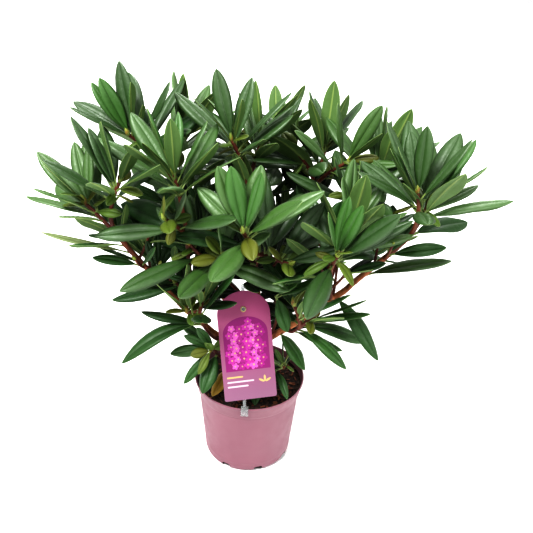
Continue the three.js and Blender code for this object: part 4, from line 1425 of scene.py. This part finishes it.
# %% A bud on every shoot
BUD_SCALES = {  # the plain colour, and the two that it drifts between
    "bud_scale_green": (paint(150, 164, 82), paint(138, 156, 72), paint(172, 176, 98)),
    "bud_scale_blushed": (paint(160, 132, 72), paint(150, 108, 66), paint(172, 158, 84)),
}
bud_finishes = []
for name, (plain, one, other) in BUD_SCALES.items():
    finish = new_finish(name, plain, 0.5)
    mottle(finish, noise_in(finish, 200, 3), one, other)
    grain(finish, 800, 3, 0.1)
    bud_finishes.append(finish)
buds = []
for shoot in shoots:
    long = habit.uniform(11, 16) * (1 if shoot["size"] == 1 else 0.7)
    base = shoot["curve"].at(1) - shoot["axis"] * 1.5
    buds += bud_shapes(base, shoot["axis"], long, habit.uniform(0, 360))
for twig in twigs:
    base, long = twig["curve"].at(1) - twig["axis"], habit.uniform(7, 10)
    buds += bud_shapes(base, twig["axis"], long, habit.uniform(0, 360))
leaf_buds = new_piece("leaf_buds", buds, bud_finishes)
masses = ["foliage_" + name for name in BOUGHS]
for piece in [*leaf_pieces, young_shoots, leaf_buds]:
    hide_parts(*masses)

# %% [markdown]
# ## Floor, light and camera
#
# The plant stands on a plain pale floor under soft studio light: one large softbox high on
# the left, a weaker one on the right, one behind that brightens the crown's upper edge, and
# a bright room round them. Soft light suits leathery leaves, for it lays a broad pale sheen
# on their faces and keeps the inside of the crown dark.

# %% Floor
floor_mesh = bpy.data.meshes.new("studio_floor")
floor_mesh.from_pydata([(-9, -6, 0), (9, -6, 0), (9, 14, 0), (-9, 14, 0)], [], [(0, 1, 2, 3)])
floor = bpy.data.objects.new("studio_floor", floor_mesh)
bpy.context.collection.objects.link(floor)
floor_finish = new_finish("studio_floor", (0.92, 0.92, 0.92), 0.9)
floor_mesh.materials.append(floor_finish)


# %% Lights
SOFTBOXES = {  # place and height of its aim, in metres, then its size and its watts
    "high_left": ((-0.9, -1.2, 2.4), 0.35, 1.1, 72),
    "right": ((1.8, -0.9, 1.5), 0.35, 1.0, 18),
    "behind": ((0.4, 2.0, 2.0), 0.4, 1.2, 34),
}
ROOM_STRENGTH = 0.52
for name, (place, aim, size, watts) in SOFTBOXES.items():
    lamp = bpy.data.lights.new(name, "AREA")
    lamp.shape, lamp.size, lamp.energy = "DISK", size, watts
    box = bpy.data.objects.new(name, lamp)
    box.location = place
    box.rotation_euler = (Vector(place) - UP * aim).to_track_quat("Z", "Y").to_euler()
    bpy.context.collection.objects.link(box)
room = bpy.data.worlds.new("bright_room")
room.use_nodes = True
feed(room, room.node_tree.nodes["Background"], Color=(1, 1, 1, 1), Strength=ROOM_STRENGTH)
bpy.context.scene.world = room
looks = bpy.context.scene.view_settings
looks.view_transform = "Standard"
looks.exposure, looks.gamma = 0.7, 0.66

# %% Camera
PITCH, ROLL, DISTANCE, TARGET = 31.1, 2.4, 1208, Vector((19.6, 0, 340))
SENSOR_WIDE, LENS = 36, 837 / 533 * 36
pitch, roll = math.radians(PITCH), math.radians(ROLL)
ahead = Vector((0, math.cos(pitch), -math.sin(pitch)))
level_up = Vector((0, math.sin(pitch), math.cos(pitch)))
level_right = Vector((1, 0, 0))
right = level_right * math.cos(roll) + level_up * math.sin(roll)
upright = level_up * math.cos(roll) - level_right * math.sin(roll)
view = bpy.data.cameras.new("camera")
view.sensor_width, view.lens, view.clip_end = SENSOR_WIDE, LENS, 60
camera = bpy.data.objects.new("camera", view)
spot = (TARGET - ahead * DISTANCE) * MM
camera.matrix_world = Matrix(
    [(right[i], upright[i], -ahead[i], spot[i]) for i in range(3)] + [(0, 0, 0, 1)]
)
bpy.context.collection.objects.link(camera)
bpy.context.scene.camera = camera
print("camera at", spot, "lens", view.lens)
